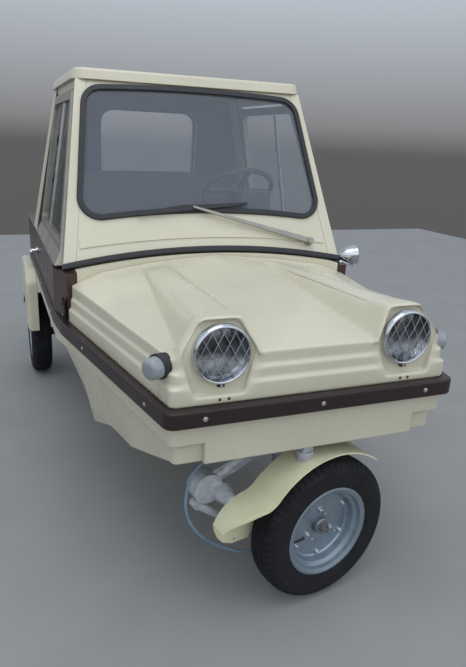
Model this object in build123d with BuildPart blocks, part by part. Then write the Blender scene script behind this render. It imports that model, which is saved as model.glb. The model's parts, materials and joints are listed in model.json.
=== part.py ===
from build123d import *
from math import atan2, cos, hypot, radians, sin, sqrt, tan
import os

# A small fibreglass car with one steered wheel under its nose and two wheels at the back.
# Millimetres, +Z up, the nose toward -Y, the car's right toward -X, origin on the floor at mid length.

# Waist line and nose
STRIP_TOP = 677.0
STRIP_HEIGHT = 45.0
STRIP_PROUD = 28.0
SIDE_STRIP = 8.0
NOSE_Y = -1192.0
NOSE_HALF = 399.0
NOSE_CORNER = 16.0
FLARE = 0.6  # how much of an outward move shows across the nose
SIDE_HALF = 572.0
HOOD_REAR_Y = -418.0
HOOD_REAR_HALF = SIDE_HALF - 31.0
HOOD_MID_HALF = 250.0
SKIN = 9.0
FIT = 5.5
SEAT = 0.3
BEYOND = 150.0  # how far a cutting tool passes the body

# Hull under the strip
LEDGE_Z = 575.0
LEDGE_IN = 18.0
HULL_BOTTOM = 300.0
FLOOR_HALF = SIDE_HALF - 142.0
APRON_HALF = NOSE_HALF - 89.0
APRON_DEPTH = 48.0
APRON_BOTTOM = 515.0
BAY_REAR_Y = -640.0
TAIL_Y = 1199.4
TAIL_BOTTOM = 420.0
TAIL_CORNER = 70.0
TAIL_TURN_Y = TAIL_Y - 90.0

# Hood
HOOD_SKIN = 8.0
STEP_LOW = 47.0
STEP_HIGH = 82.0
STEP_TOP = 117.0
STEP_IN = 8.0
CORE_OUT = -2 * STEP_IN
CORE_CORNER = NOSE_CORNER + 18.0
# Steps of the hood's sides: from and to above the strip, how far out, corner radius
HOOD_STEPS = ((0.0, STEP_LOW, 0.0, NOSE_CORNER),
              (STEP_LOW, STEP_HIGH, -STEP_IN, NOSE_CORNER + 10.0),
              (STEP_HIGH, STEP_TOP, CORE_OUT, CORE_CORNER))
HOOD_EDGE_Z = STRIP_TOP + STEP_TOP
HOOD_CORNER_Z = HOOD_EDGE_Z + 9.0
LAMP_X = NOSE_HALF - 132.0
LAMP_Z = 799.0
LAMP_R = 77.0
POCKET_DEPTH = 72.0

# Cowl and cab
COWL_Y = HOOD_REAR_Y + 70.0
COWL_HALF = SIDE_HALF - 28.0
COWL_REAR_Y = COWL_Y + 56.0
COWL_CROWN = 48.0
SIDE_THICK = 30.0
RAIL_Z = 850.0
COWL_Z = RAIL_Z - 13.0
WINDOW_Z = RAIL_Z + 35.0
SILL_Z = STRIP_TOP + 18.0
DOOR_FRONT_Y = -272.0
DOOR_LENGTH = 812.0
DOOR_REAR_Y = DOOR_FRONT_Y + DOOR_LENGTH
DOOR_THICK = 34.0
DOOR_GAP = 5.5
ROOF_Y = COWL_Y + 271.0
ROOF_HALF = SIDE_HALF - 126.0
ROOF_SEAM_Z = 1479.0
ROOF_TOP_Z = ROOF_SEAM_Z + 39.0
ROOF_OVER = 12.0
ROOF_THICK = 12.0
ROOF_TAPER = 14.0
RAIL_LOW = ROOF_SEAM_Z - 30.0
PANEL_THICK = 30.0
REAR_WALL_Y = DOOR_REAR_Y + 180.0
REAR_TOP_Y = REAR_WALL_Y - 60.0
SEAL = 20.0
SEAL_PROUD = 9.0
GLASS = 5.0
GLASS_BOTTOM_Z = COWL_Z + 152.0
GLASS_TOP_Z = ROOF_SEAM_Z - 6.0
GLASS_BOTTOM_HALF = COWL_HALF - 54.0
GLASS_TOP_HALF = ROOF_HALF - 19.0
GLASS_CORNER = 80.0

# Wheels
TYRE_R = 221.0
TYRE_HALF = 52.5
RIM_R = 140.0
BEAD_R = 127.0
DISC_HALF = 3.0
STUD_CIRCLE_R = 48.0
STUD_R = 4.5
SPLIT_BOLT_R = 95.0
HUB_R = 26.0
DRUM_R = 78.0
DRUM_DEPTH = 42.0
STEER_Y = -1145.0
TRAIL = 75.0
STEER_ANGLE = -80.0
REAR_AXLE_Y = 954.0
FENDER_OUT = SIDE_HALF + 56.0
REAR_TRACK_HALF = FENDER_OUT - 67.0
ARCH_X = REAR_TRACK_HALF - 91.0

# Steering head, fork and front fender, in the straight ahead position
STEM_R = 17.0
HEAD_R = 22.0
HEAD_BOTTOM = 520.0
HEAD_TOP = 640.0
HUB_Y = STEER_Y + TRAIL
FORK_X = -140.0
CROWN_Z = 484.0
CLAMP_AHEAD = 236.0
CLAMP_Z = 362.0
CLAMP = (STEER_Y - CLAMP_AHEAD, CLAMP_Z)
CLAMP_R = 44.0
CLAMP_DEPTH = 50.0
FENDER_R = TYRE_R + 32.0
FENDER_THICK = 4.0
FENDER_INNER = 60.0
FENDER_OUTER = 55.0
FENDER_TAIL_ANGLE = 38.0
FENDER_LEAD_ANGLE = 49.7
SHELF_AHEAD = 232.0
SHELF_UP = 141.0
TIP_AHEAD = 325.0
TIP_UP = 64.0
FENDER_SHELF = (HUB_Y - SHELF_AHEAD, TYRE_R + SHELF_UP)
FENDER_TIP = (HUB_Y - TIP_AHEAD, TYRE_R + TIP_UP)

os.makedirs("parts", exist_ok=True)


def save(piece, name, place=None):
    """Labels a finished piece and writes it."""
    if place is not None:
        piece.part.move(place)
    piece.part.label = name
    export_step(piece.part, f"parts/{name}.step")


def mirrored(points):
    """Closes a half outline, given from front to back on +X, with its mirror on -X."""
    return [*points, *[(-x, y) for x, y in reversed(points)]]


def outline(plane, points, corner=0.0):
    """A filled outline through the points, with its two foremost corners rounded."""
    with BuildSketch(plane) as face:
        Polygon(*points, align=None)
        if corner > 0:
            fillet(face.vertices().sort_by(Axis.Y)[:2], corner)
    return face.sketch


def prism(plane, points, amount, mode=Mode.ADD, corner=0.0):
    """A straight prism on the plane."""
    return extrude(outline(plane, points, corner), amount=amount, dir=plane.z_dir, mode=mode)


def slab(x, y, z, mode=Mode.ADD):
    """A block between the two limits given for each axis."""
    with Locations(((x[0] + x[1]) / 2, (y[0] + y[1]) / 2, (z[0] + z[1]) / 2)):
        return Box(abs(x[1] - x[0]), abs(y[1] - y[0]), abs(z[1] - z[0]), mode=mode)


def rod(start, end, radius, mode=Mode.ADD):
    """A round bar from one point to another."""
    run = Vector(*end) - Vector(*start)
    with BuildSketch(Plane(origin=start, z_dir=run)) as disc:
        Circle(radius)
    return extrude(disc.sketch, amount=run.length, mode=mode)


def across(x, centre, radius, amount, mode=Mode.ADD):
    """A disc that lies across the car: centre is its y and z, and it grows from x toward +X."""
    with BuildSketch(Plane.YZ.offset(x)) as disc:
        with Locations(centre):
            Circle(radius)
    return extrude(disc.sketch, amount=amount, dir=(1, 0, 0), mode=mode)


def waist(out):
    """Half outline of the body at the waist, moved outward by out."""
    return [(NOSE_HALF + out * FLARE, NOSE_Y - out), (HOOD_REAR_HALF + out, HOOD_REAR_Y),
            (SIDE_HALF + out, DOOR_FRONT_Y), (SIDE_HALF + out, TAIL_TURN_Y),
            (SIDE_HALF - TAIL_CORNER + out, TAIL_Y + out)]


def hull_low(out):
    """Half outline of the hull at its lowest level, moved outward by out."""
    return [(NOSE_HALF - 29 + out * FLARE, NOSE_Y + 25 - out), (FLOOR_HALF + 36 + out, HOOD_REAR_Y),
            (FLOOR_HALF + 20 + out, DOOR_FRONT_Y), (FLOOR_HALF + out, TAIL_Y - 170),
            (FLOOR_HALF - 60 + out, TAIL_Y - 70 + out)]


# Lower hull: an upright band under the strip, a ledge, then sides that taper to the floor
def hull_form(inset):
    corner = NOSE_CORNER - inset
    with BuildPart() as form:
        foot_z = LEDGE_Z + inset
        prism(Plane.XY.offset(foot_z), mirrored(waist(-inset)), STRIP_TOP - foot_z, corner=corner)
        top = outline(Plane.XY.offset(foot_z + 1), mirrored(waist(-LEDGE_IN - inset)), corner)
        foot = outline(Plane.XY.offset(HULL_BOTTOM + inset), mirrored(hull_low(-inset)), corner)
        loft([top, foot], ruled=True)
    return form.part


# Lower edge of the hull seen from the side, from the apron back to the tail
HULL_UNDER = [(NOSE_Y - BEYOND, APRON_BOTTOM + 9), (NOSE_Y + 42, APRON_BOTTOM),
              (BAY_REAR_Y - 220, HULL_BOTTOM + 112), (BAY_REAR_Y - 20, HULL_BOTTOM + 90),
              (HOOD_REAR_Y - 12, HULL_BOTTOM), (REAR_WALL_Y - 100, HULL_BOTTOM),
              (REAR_WALL_Y - 20, TAIL_BOTTOM), (TAIL_Y + BEYOND, TAIL_BOTTOM + 46)]
hull_outside = hull_form(0)
hull_inside = hull_form(SKIN)

with BuildPart() as lower_hull:
    add(hull_outside)
    slab((-APRON_HALF, APRON_HALF), (NOSE_Y, NOSE_Y + APRON_DEPTH), (HULL_BOTTOM, LEDGE_Z + 20))
    under = [*HULL_UNDER, (TAIL_Y + BEYOND, 0), (NOSE_Y - BEYOND, 0)]
    prism(Plane.YZ.offset(-SIDE_HALF - BEYOND), under, 2 * (SIDE_HALF + BEYOND), Mode.SUBTRACT)
    add(hull_inside, mode=Mode.SUBTRACT)
    apron = APRON_HALF - SKIN
    slab((-apron, apron), (NOSE_Y + SKIN, NOSE_Y + 80), (HULL_BOTTOM, STRIP_TOP), Mode.SUBTRACT)
    slab((-SIDE_HALF - BEYOND, SIDE_HALF + BEYOND), (NOSE_Y - BEYOND, TAIL_Y + BEYOND),
         (STRIP_TOP - FIT, STRIP_TOP + BEYOND), Mode.SUBTRACT)
    for x in (-ARCH_X - 200, ARCH_X):
        across(x, (REAR_AXLE_Y, TYRE_R), TYRE_R + 45, 200, Mode.SUBTRACT)
save(lower_hull, "lower_hull")

# Brown strip right round the waist, wide at the nose and slim along the sides
STRIP_CORNER = 32.0
STRIP_ROUND = 6.0
STRIP_OUTLINE = [(NOSE_HALF + STRIP_PROUD * FLARE, NOSE_Y - STRIP_PROUD),
                 (HOOD_REAR_HALF + STRIP_PROUD, HOOD_REAR_Y),
                 (SIDE_HALF + SIDE_STRIP, DOOR_FRONT_Y),
                 (SIDE_HALF + SIDE_STRIP, TAIL_TURN_Y),
                 (SIDE_HALF - TAIL_CORNER + SIDE_STRIP, TAIL_Y + SIDE_STRIP)]
STRIP_PLANE = Plane.XY.offset(STRIP_TOP - STRIP_HEIGHT)

with BuildPart() as waist_strip:
    prism(STRIP_PLANE, mirrored(STRIP_OUTLINE), STRIP_HEIGHT, corner=STRIP_CORNER)
    levels = waist_strip.faces().sort_by(Axis.Z)
    fillet(levels[0].edges() + levels[-1].edges(), STRIP_ROUND)
    prism(STRIP_PLANE, mirrored(waist(SEAT)), STRIP_HEIGHT, Mode.SUBTRACT, NOSE_CORNER)
save(waist_strip, "waist_strip")

# Floor with the toe board and bulkhead that close the wheel bay
FLOOR_Z = HULL_BOTTOM + SKIN + SEAT
FLOOR_T = 14.0
TOE_Y = -463.0
TOE_TOP = (BAY_REAR_Y + FLOOR_T, 566.0)
SHELF_REAR_Y = COWL_Y - 32.0
SHELF_Z = STRIP_TOP - 13.0
PAN_HALF = FLOOR_HALF - 24.0
PAN_REAR_Y = REAR_WALL_Y - 40.0
PAN_REAR_TOP = STRIP_TOP - 37.0
FLOOR_TOP = FLOOR_Z + FLOOR_T
pan_side = [(BAY_REAR_Y, TOE_TOP[1] - 6), (TOE_Y - 7, FLOOR_Z), (PAN_REAR_Y, FLOOR_Z),
            (PAN_REAR_Y, PAN_REAR_TOP), (PAN_REAR_Y - FLOOR_T, PAN_REAR_TOP),
            (PAN_REAR_Y - FLOOR_T, FLOOR_TOP), (TOE_Y, FLOOR_TOP), TOE_TOP,
            (TOE_TOP[0], SHELF_Z - FLOOR_T), (SHELF_REAR_Y, SHELF_Z - FLOOR_T),
            (SHELF_REAR_Y, SHELF_Z), (BAY_REAR_Y, SHELF_Z)]
with BuildPart() as floor_pan:
    prism(Plane.YZ.offset(-PAN_HALF), pan_side, 2 * PAN_HALF)
save(floor_pan, "floor_pan")

# Brown sides: cowl corner, sill under the door and rear quarter
COWL_GAP_Y = COWL_Y - 3.0
HOOD_MID_Y = COWL_GAP_Y - FIT
COWL_SLOPE = (HOOD_MID_Y - HOOD_REAR_Y) / (HOOD_REAR_HALF - HOOD_MID_HALF)
SIDE_INNER = SIDE_HALF - SIDE_THICK
SIDE_FRONT = (HOOD_REAR_HALF - SIDE_THICK, HOOD_REAR_Y + FIT + SIDE_THICK * COWL_SLOPE)
SIDE_OUTLINE = [(HOOD_REAR_HALF - 0.5, HOOD_REAR_Y + FIT), (SIDE_HALF, DOOR_FRONT_Y),
                (SIDE_HALF, TAIL_TURN_Y), (SIDE_HALF - TAIL_CORNER, TAIL_Y),
                (SIDE_HALF - TAIL_CORNER, TAIL_Y - 40), (SIDE_INNER, TAIL_TURN_Y - 16),
                (SIDE_INNER, DOOR_FRONT_Y), SIDE_FRONT]
HINGE_LEAVES = (SILL_Z + 17, SILL_Z + 99)
HINGE_TALL = 34.0
HINGE_X = (SIDE_HALF - 26.0, SIDE_HALF - 6.0)
HINGE_Y = (DOOR_FRONT_Y - 4.0, DOOR_FRONT_Y + DOOR_GAP - SEAT)
with BuildPart() as body_sides:
    prism(Plane.XY.offset(STRIP_TOP), SIDE_OUTLINE, RAIL_Z - STRIP_TOP)
    sides = (SIDE_HALF - BEYOND, SIDE_HALF + BEYOND)
    slab(sides, (DOOR_FRONT_Y, DOOR_REAR_Y), (SILL_Z, RAIL_Z + 10), Mode.SUBTRACT)
    slab(sides, (HOOD_REAR_Y - 10, DOOR_FRONT_Y), (COWL_Z, RAIL_Z + 10), Mode.SUBTRACT)
    for low in HINGE_LEAVES:
        slab(HINGE_X, HINGE_Y, (low, low + HINGE_TALL))
    mirror(about=Plane.YZ)
save(body_sides, "body_sides")

# Steering column from the wheel down to a ball that rests on the toe board
COLUMN_R = 18.0
WHEEL_AT = (218.0, -20.0, 1088.0)
COLUMN_DIR = (0.0, -0.6, -0.8)
toe_slope = (TOE_Y - TOE_TOP[0], FLOOR_Z + FLOOR_T - TOE_TOP[1])
toe_normal = (-toe_slope[1] / hypot(*toe_slope), toe_slope[0] / hypot(*toe_slope))
toe_reach = (WHEEL_AT[1] - TOE_TOP[0]) * toe_normal[0] + (WHEEL_AT[2] - TOE_TOP[1]) * toe_normal[1]
toe_closing = -(COLUMN_DIR[1] * toe_normal[0] + COLUMN_DIR[2] * toe_normal[1])
column_length = (toe_reach - COLUMN_R - SEAT) / toe_closing
COLUMN_FOOT = tuple(Vector(*WHEEL_AT) + Vector(*COLUMN_DIR) * column_length)

# Cowl between the hood and the screen panel, arched across the car
COWL_WALL = 30.0
with BuildPart() as cowl:
    with BuildSketch(Plane.XZ.offset(-COWL_REAR_Y)):
        with BuildLine():
            ThreePointArc((-COWL_HALF, COWL_Z), (0, COWL_Z + COWL_CROWN), (COWL_HALF, COWL_Z))
            Polyline((COWL_HALF, COWL_Z), (COWL_HALF, STRIP_TOP), (-COWL_HALF, STRIP_TOP),
                     (-COWL_HALF, COWL_Z))
        make_face()
    extrude(amount=COWL_REAR_Y - HOOD_REAR_Y)
    cut = [(HOOD_MID_HALF, COWL_GAP_Y), (HOOD_REAR_HALF, HOOD_REAR_Y + FIT),
           (SIDE_HALF + BEYOND, HOOD_REAR_Y - 100)]
    prism(Plane.XY.offset(STRIP_TOP - 10), mirrored(cut), 300, Mode.SUBTRACT)
    slab((-COWL_HALF + 70, COWL_HALF - 70), (COWL_GAP_Y + COWL_WALL, COWL_REAR_Y + 10),
         (STRIP_TOP - 10, COWL_Z - COWL_WALL), Mode.SUBTRACT)
    flank_half = SIDE_FRONT[0] - SEAT
    flank = [(flank_half, HOOD_REAR_Y - 10), (flank_half, SIDE_FRONT[1]), (SIDE_INNER - SEAT, DOOR_FRONT_Y),
             (SIDE_HALF + BEYOND, DOOR_FRONT_Y), (SIDE_HALF + BEYOND, HOOD_REAR_Y - 10)]
    for side in (-1, 1):
        prism(Plane.XY.offset(STRIP_TOP - 10), [(side * x, y) for x, y in flank], 300, Mode.SUBTRACT)
    rod(COLUMN_FOOT, WHEEL_AT, COLUMN_R + SEAT, Mode.SUBTRACT)
save(cowl, "cowl")

# Tail: a sloping deck and an upright panel
DECK_FALL = 44.0
DECK_T = 12.0
PANEL_DEPTH = 40.0
with BuildPart() as tail_deck:
    deck_half = SIDE_INNER - SEAT
    deck_front = REAR_WALL_Y + 4
    deck_rear = TAIL_Y - PANEL_DEPTH - 5
    deck_low = RAIL_Z - DECK_FALL
    deck_side = [(deck_front, RAIL_Z), (deck_rear, deck_low), (deck_rear, deck_low - DECK_T),
                 (deck_front, RAIL_Z - DECK_T)]
    prism(Plane.YZ.offset(-deck_half), deck_side, 2 * deck_half)
    corner = [(deck_half, TAIL_TURN_Y - 20), (SIDE_HALF + 28, TAIL_TURN_Y - 20), (SIDE_HALF + 28, TAIL_Y),
              (SIDE_HALF - TAIL_CORNER, deck_rear)]
    for side in (-1, 1):
        prism(Plane.XY.offset(STRIP_TOP + 23), [(side * x, y) for x, y in corner], 200, Mode.SUBTRACT)
save(tail_deck, "tail_deck")
TAIL_HALF = SIDE_HALF - TAIL_CORNER - SEAT
with BuildPart() as tail_panel:
    slab((-TAIL_HALF, TAIL_HALF), (TAIL_Y - PANEL_DEPTH, TAIL_Y), (STRIP_TOP, RAIL_Z))
    slab((-TAIL_HALF + PANEL_DEPTH, TAIL_HALF - PANEL_DEPTH), (TAIL_Y - PANEL_DEPTH - 10, TAIL_Y - 12),
         (STRIP_TOP + 14, RAIL_Z - 14), Mode.SUBTRACT)
save(tail_panel, "tail_panel")


# Hood: stepped sides, an arched top and two lamp nacelles that fade out toward the cowl
# Sections of its arched top: y, half width, edge z, shoulder half width, shoulder z, middle z
SHOULDER_HALF = HOOD_REAR_HALF - 121.0
HOOD_SECTIONS = (
    (NOSE_Y - CORE_OUT, NOSE_HALF + CORE_OUT * FLARE, HOOD_EDGE_Z,
     NOSE_HALF - 99, HOOD_EDGE_Z + 2, HOOD_EDGE_Z + 4),
    (HOOD_REAR_Y, HOOD_REAR_HALF + CORE_OUT, HOOD_CORNER_Z,
     SHOULDER_HALF, HOOD_CORNER_Z + 35, HOOD_CORNER_Z + 71),
    (HOOD_MID_Y + 4, HOOD_REAR_HALF - 5, HOOD_CORNER_Z + 4,
     SHOULDER_HALF, HOOD_CORNER_Z + 43, HOOD_CORNER_Z + 81))
# Nacelle's corners, across and above the lamp's centre
NACELLE_FRONT = ((-104.0, -8.0), (-58.0, 89.0), (58.0, 89.0), (104.0, -8.0))
NACELLE_REAR = ((-60.0, 1.0), (-34.0, 55.0), (60.0, 72.0), (80.0, 1.0))
NACELLE_DRIFT = 20.0


def hood_plan(out):
    """Half outline of the hood seen from above, moved outward by out."""
    return [(NOSE_HALF + out * FLARE, NOSE_Y - out), (HOOD_REAR_HALF + out, HOOD_REAR_Y),
            (HOOD_MID_HALF, HOOD_MID_Y)]


def section(y, half, edge, shoulder, shoulder_z, middle, inset):
    w, s = half - inset, shoulder - inset
    points = [(w, STRIP_TOP), (w, edge - inset), (s, shoulder_z - inset), (0, middle - inset)]
    ring = [*points, *[(-x, z) for x, z in reversed(points[:-1])]]
    return outline(Plane.XZ.offset(-y), ring)


def hood_form(inset):
    front_y = NOSE_Y - CORE_OUT
    with BuildPart() as form:
        rings = [section(y + (inset if y == front_y else -inset), *rest, inset)
                 for y, *rest in HOOD_SECTIONS]
        loft(rings, ruled=True)
        core = [(NOSE_HALF + CORE_OUT * FLARE - inset, front_y + inset),
                (HOOD_REAR_HALF + CORE_OUT - inset, HOOD_REAR_Y), (HOOD_REAR_HALF, HOOD_MID_Y + 40)]
        prism(Plane.XY.offset(STRIP_TOP - 10), mirrored(core), 400, Mode.INTERSECT, CORE_CORNER - inset)
        for low, high, out, corner in HOOD_STEPS:
            foot_z = STRIP_TOP + low - (inset if low else 0)
            height = STRIP_TOP + high - inset - foot_z
            prism(Plane.XY.offset(foot_z), mirrored(hood_plan(out - inset)), height, corner=corner - inset)
        for side in (-1, 1):
            front = [(side * (LAMP_X - x), LAMP_Z + z - inset) for x, z in NACELLE_FRONT]
            rear = [(side * (LAMP_X - x - NACELLE_DRIFT), LAMP_Z + z - inset) for x, z in NACELLE_REAR]
            loft([outline(Plane.XZ.offset(-NOSE_Y - 4 - inset), front),
                  outline(Plane.XZ.offset(-HOOD_REAR_Y), rear)], ruled=True)
        behind = [(HOOD_MID_HALF, HOOD_MID_Y - inset), (HOOD_REAR_HALF + 20, HOOD_REAR_Y - inset),
                  (SIDE_HALF + BEYOND, HOOD_REAR_Y - inset), (SIDE_HALF + BEYOND, 0)]
        prism(Plane.XY.offset(STRIP_TOP - 20), mirrored(behind), 300, Mode.SUBTRACT)
    return form.part


# Opening round the lamp, across and above the lamp's centre
HEXAGON = ((-65.0, -99.0), (-97.0, 4.0), (-53.0, 80.0), (53.0, 80.0), (97.0, 4.0), (65.0, -99.0))
HEXAGON_OUT = 6.0
CUP_SCALE = 1.08
hood_outside = hood_form(0)
hood_inside = hood_form(HOOD_SKIN)
with BuildPart() as hood:
    add(hood_outside)
    add(hood_inside, mode=Mode.SUBTRACT)
    slab((-SIDE_HALF, SIDE_HALF), (NOSE_Y + HOOD_SKIN, COWL_REAR_Y), (STRIP_TOP - 30, STRIP_TOP),
         Mode.SUBTRACT)
    for side in (-1, 1):
        hole = [(side * (LAMP_X + HEXAGON_OUT + x), LAMP_Z + z) for x, z in HEXAGON]
        cup = [(side * (LAMP_X + HEXAGON_OUT + x * CUP_SCALE), LAMP_Z + z * CUP_SCALE) for x, z in HEXAGON]
        prism(Plane.XZ.offset(-NOSE_Y - 20), cup, -POCKET_DEPTH + 12)
        prism(Plane.XZ.offset(-NOSE_Y + 30), hole, -POCKET_DEPTH - 30, Mode.SUBTRACT)
save(hood, "hood")

# Headlamps: a bowl on the pocket floor, a bright rim and a guard of crossed wires over the lens
LAMP_FACE_Y = NOSE_Y + 4
POCKET_FLOOR_Y = NOSE_Y + POCKET_DEPTH
LAMP_REACH = POCKET_FLOOR_Y - LAMP_FACE_Y
RIM_DEPTH = 22.0
RIM_ROUND = 5.0
MOUTH_R = LAMP_R - 9.0
LENS_BACK = LAMP_REACH - 18.0
LENS_DEPTH = 11.0
BOSS_R = 30.0
GUARD_WIRE = 1.3
GUARD_PITCH = 27.0
GUARD_TILT = 65.0
GUARD_LINES = (-2, -1, 0, 1, 2)
lamp_planes = [Plane(origin=(side * LAMP_X, POCKET_FLOOR_Y, LAMP_Z), x_dir=(1, 0, 0), z_dir=(0, -1, 0))
               for side in (-1, 1)]
with BuildPart() as headlamps:
    for here in lamp_planes:
        with BuildSketch(here) as boss:
            Circle(BOSS_R)
        extrude(boss.sketch, amount=14)
        with BuildSketch(here.offset(14)) as back:
            Circle(BOSS_R)
        with BuildSketch(here.offset(LAMP_REACH - RIM_DEPTH + 2)) as mouth:
            Circle(LAMP_R - 8)
        loft([back.sketch, mouth.sketch])
        with BuildSketch(here.offset(LAMP_REACH - RIM_DEPTH)) as rim:
            Circle(LAMP_R)
        extrude(rim.sketch, amount=RIM_DEPTH)
    fillet(headlamps.faces().filter_by(Axis.Y).sort_by(Axis.Y)[:2].edges(), RIM_ROUND)
    for here in lamp_planes:
        with BuildSketch(here.offset(LENS_BACK)) as recess:
            Circle(MOUTH_R)
        extrude(recess.sketch, amount=40, mode=Mode.SUBTRACT)
        for tilt in (-GUARD_TILT, GUARD_TILT):
            for line in GUARD_LINES:
                off = line * GUARD_PITCH
                half = sqrt((MOUTH_R + 3) ** 2 - off ** 2)
                c, s = cos(radians(tilt)), sin(radians(tilt))
                ends = [here.from_local_coords((t * c - off * s, t * s + off * c, LAMP_REACH - 5))
                        for t in (-half, half)]
                rod(tuple(ends[0]), tuple(ends[1]), GUARD_WIRE)
save(headlamps, "headlamps")
with BuildPart() as headlamp_lenses:
    for here in lamp_planes:
        with BuildSketch(here.offset(LENS_BACK + SEAT)) as seat:
            Circle(MOUTH_R - SEAT)
        with BuildSketch(here.offset(LENS_BACK + LENS_DEPTH)) as dome:
            Circle(MOUTH_R - 24)
        loft([seat.sketch, dome.sketch])
save(headlamp_lenses, "headlamp_lenses")

# Screen panel, seal and glass, drawn on the sloping plane of the cab's face
RAKE = atan2(ROOF_Y - COWL_Y, ROOF_SEAM_Z - COWL_Z)
FACE = Plane(origin=(0, COWL_Y, COWL_Z), x_dir=(1, 0, 0), z_dir=(0, -cos(RAKE), sin(RAKE)))
FACE_LENGTH = hypot(ROOF_Y - COWL_Y, ROOF_SEAM_Z - COWL_Z)
FACE_CROWN = COWL_CROWN / cos(RAKE)
GLASS_LOW = (GLASS_BOTTOM_Z - COWL_Z) / cos(RAKE)
GLASS_HIGH = (GLASS_TOP_Z - COWL_Z) / cos(RAKE)
GLASS_SAG = 38.0
GLASS_TOP_SAG = 16.0
PANEL_FOOT = 14.0
RIB_LOW = 78.0
RIB_HIGH = 108.0
RIB_CROWN = 32.0
RIB_PROUD = 4.0
PILLAR_WIDE = 42.0
PILLAR_GROOVE = 2.5


def seal_outline(plane, inward):
    """The rubber's outer line on the screen panel, moved inward."""
    with BuildSketch(plane) as face:
        with BuildLine():
            low = ThreePointArc((-GLASS_BOTTOM_HALF, GLASS_LOW), (0, GLASS_LOW + GLASS_SAG),
                                (GLASS_BOTTOM_HALF, GLASS_LOW))
            high = ThreePointArc((GLASS_TOP_HALF, GLASS_HIGH - GLASS_TOP_SAG), (0, GLASS_HIGH),
                                 (-GLASS_TOP_HALF, GLASS_HIGH - GLASS_TOP_SAG))
            Line(low @ 1, high @ 0)
            Line(high @ 1, low @ 0)
        make_face()
        fillet(face.vertices(), GLASS_CORNER)
        if inward:
            offset(amount=-inward, mode=Mode.REPLACE)
    return face.sketch


def arched_band(plane, half, low, high, crown):
    """A band across the screen panel between two arcs, low and high being their ends' heights."""
    with BuildSketch(plane) as band:
        with BuildLine():
            under = ThreePointArc((-half, low), (0, low + crown), (half, low))
            over = ThreePointArc((half, high), (0, high + crown), (-half, high))
            Line(under @ 1, over @ 0)
            Line(over @ 1, under @ 0)
        make_face()
    return band.sketch


with BuildPart() as cab_front:
    with BuildSketch(FACE):
        with BuildLine():
            foot = ThreePointArc((-COWL_HALF, PANEL_FOOT), (0, FACE_CROWN + PANEL_FOOT),
                                 (COWL_HALF, PANEL_FOOT))
            Polyline(foot @ 1, (ROOF_HALF, FACE_LENGTH), (-ROOF_HALF, FACE_LENGTH), foot @ 0)
        make_face()
    extrude(amount=-PANEL_THICK)
    extrude(arched_band(FACE, GLASS_BOTTOM_HALF - 8, RIB_LOW, RIB_HIGH, RIB_CROWN), amount=RIB_PROUD)
    extrude(seal_outline(FACE, SEAL / 2), amount=-2 * PANEL_THICK, both=True, mode=Mode.SUBTRACT)
    for side in (-1, 1):
        low_x, high_x = COWL_HALF - PILLAR_WIDE, ROOF_HALF - PILLAR_WIDE
        groove = [(side * low_x, 0), (side * (low_x + PILLAR_GROOVE), 0),
                  (side * (high_x + PILLAR_GROOVE), FACE_LENGTH), (side * high_x, FACE_LENGTH)]
        prism(FACE.offset(-PILLAR_GROOVE), groove, PILLAR_GROOVE * 2, Mode.SUBTRACT)
    slab((-SIDE_HALF, SIDE_HALF), (HOOD_REAR_Y, DOOR_REAR_Y), (ROOF_SEAM_Z - SEAT, ROOF_TOP_Z + 100),
         Mode.SUBTRACT)
save(cab_front, "cab_front")
with BuildPart() as windscreen_seal:
    extrude(seal_outline(FACE.offset(SEAT), 0), amount=SEAL_PROUD)
    fillet(windscreen_seal.faces().sort_by(Axis((0, 0, 0), FACE.z_dir))[-1].edges(), 4)
    extrude(seal_outline(FACE.offset(-12), SEAL / 2 + SEAT), amount=14)
    extrude(seal_outline(FACE.offset(-20), SEAL), amount=60, mode=Mode.SUBTRACT)
save(windscreen_seal, "windscreen_seal")
with BuildPart() as windscreen:
    extrude(seal_outline(FACE.offset(-4), SEAL + SEAT), amount=GLASS)
save(windscreen, "windscreen")
RUBBER_HIGH = 25.0
RUBBER_THICK = 12.0
with BuildPart() as cowl_rubber:
    extrude(arched_band(FACE.offset(SEAT), COWL_HALF, 3, RUBBER_HIGH, FACE_CROWN), amount=RUBBER_THICK)
    rubber_front = cowl_rubber.faces().sort_by(Axis((0, 0, 0), FACE.z_dir))[-1]
    fillet(rubber_front.edges().sort_by(SortBy.LENGTH)[-2:], 5)
save(cowl_rubber, "cowl_rubber")

# Roof: a shallow cap that stands over the walls, with a rail along each side
TUMBLE = atan2(SIDE_HALF - 24 - ROOF_HALF - 4, ROOF_SEAM_Z - WINDOW_Z)
ROOF_CORNER = 55.0
ROOF_ROUND = 12.0
roof_mid_y = (ROOF_Y + REAR_TOP_Y) / 2
roof_size = (2 * (ROOF_HALF + ROOF_OVER), REAR_TOP_Y - ROOF_Y + 2 * ROOF_OVER)
with BuildPart() as roof:
    with BuildSketch(Plane.XY.offset(ROOF_SEAM_Z)):
        with Locations((0, roof_mid_y)):
            RectangleRounded(*roof_size, ROOF_CORNER)
    extrude(amount=ROOF_TOP_Z - ROOF_SEAM_Z, taper=ROOF_TAPER)
    fillet(roof.faces().sort_by(Axis.Z)[-1].edges(), ROOF_ROUND)
    with BuildSketch(Plane.XY.offset(ROOF_SEAM_Z)):
        with Locations((0, roof_mid_y)):
            RectangleRounded(roof_size[0] - 2 * ROOF_THICK, roof_size[1] - 2 * ROOF_THICK,
                             ROOF_CORNER - ROOF_THICK)
    extrude(amount=ROOF_TOP_Z - ROOF_SEAM_Z - ROOF_THICK, taper=ROOF_TAPER, mode=Mode.SUBTRACT)
    for side in (-1, 1):
        slab((side * (ROOF_HALF - 34), side * (ROOF_HALF - 2)), (ROOF_Y + 34, REAR_TOP_Y - 34),
             (RAIL_LOW, ROOF_SEAM_Z + 14))
save(roof, "roof")

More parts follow.
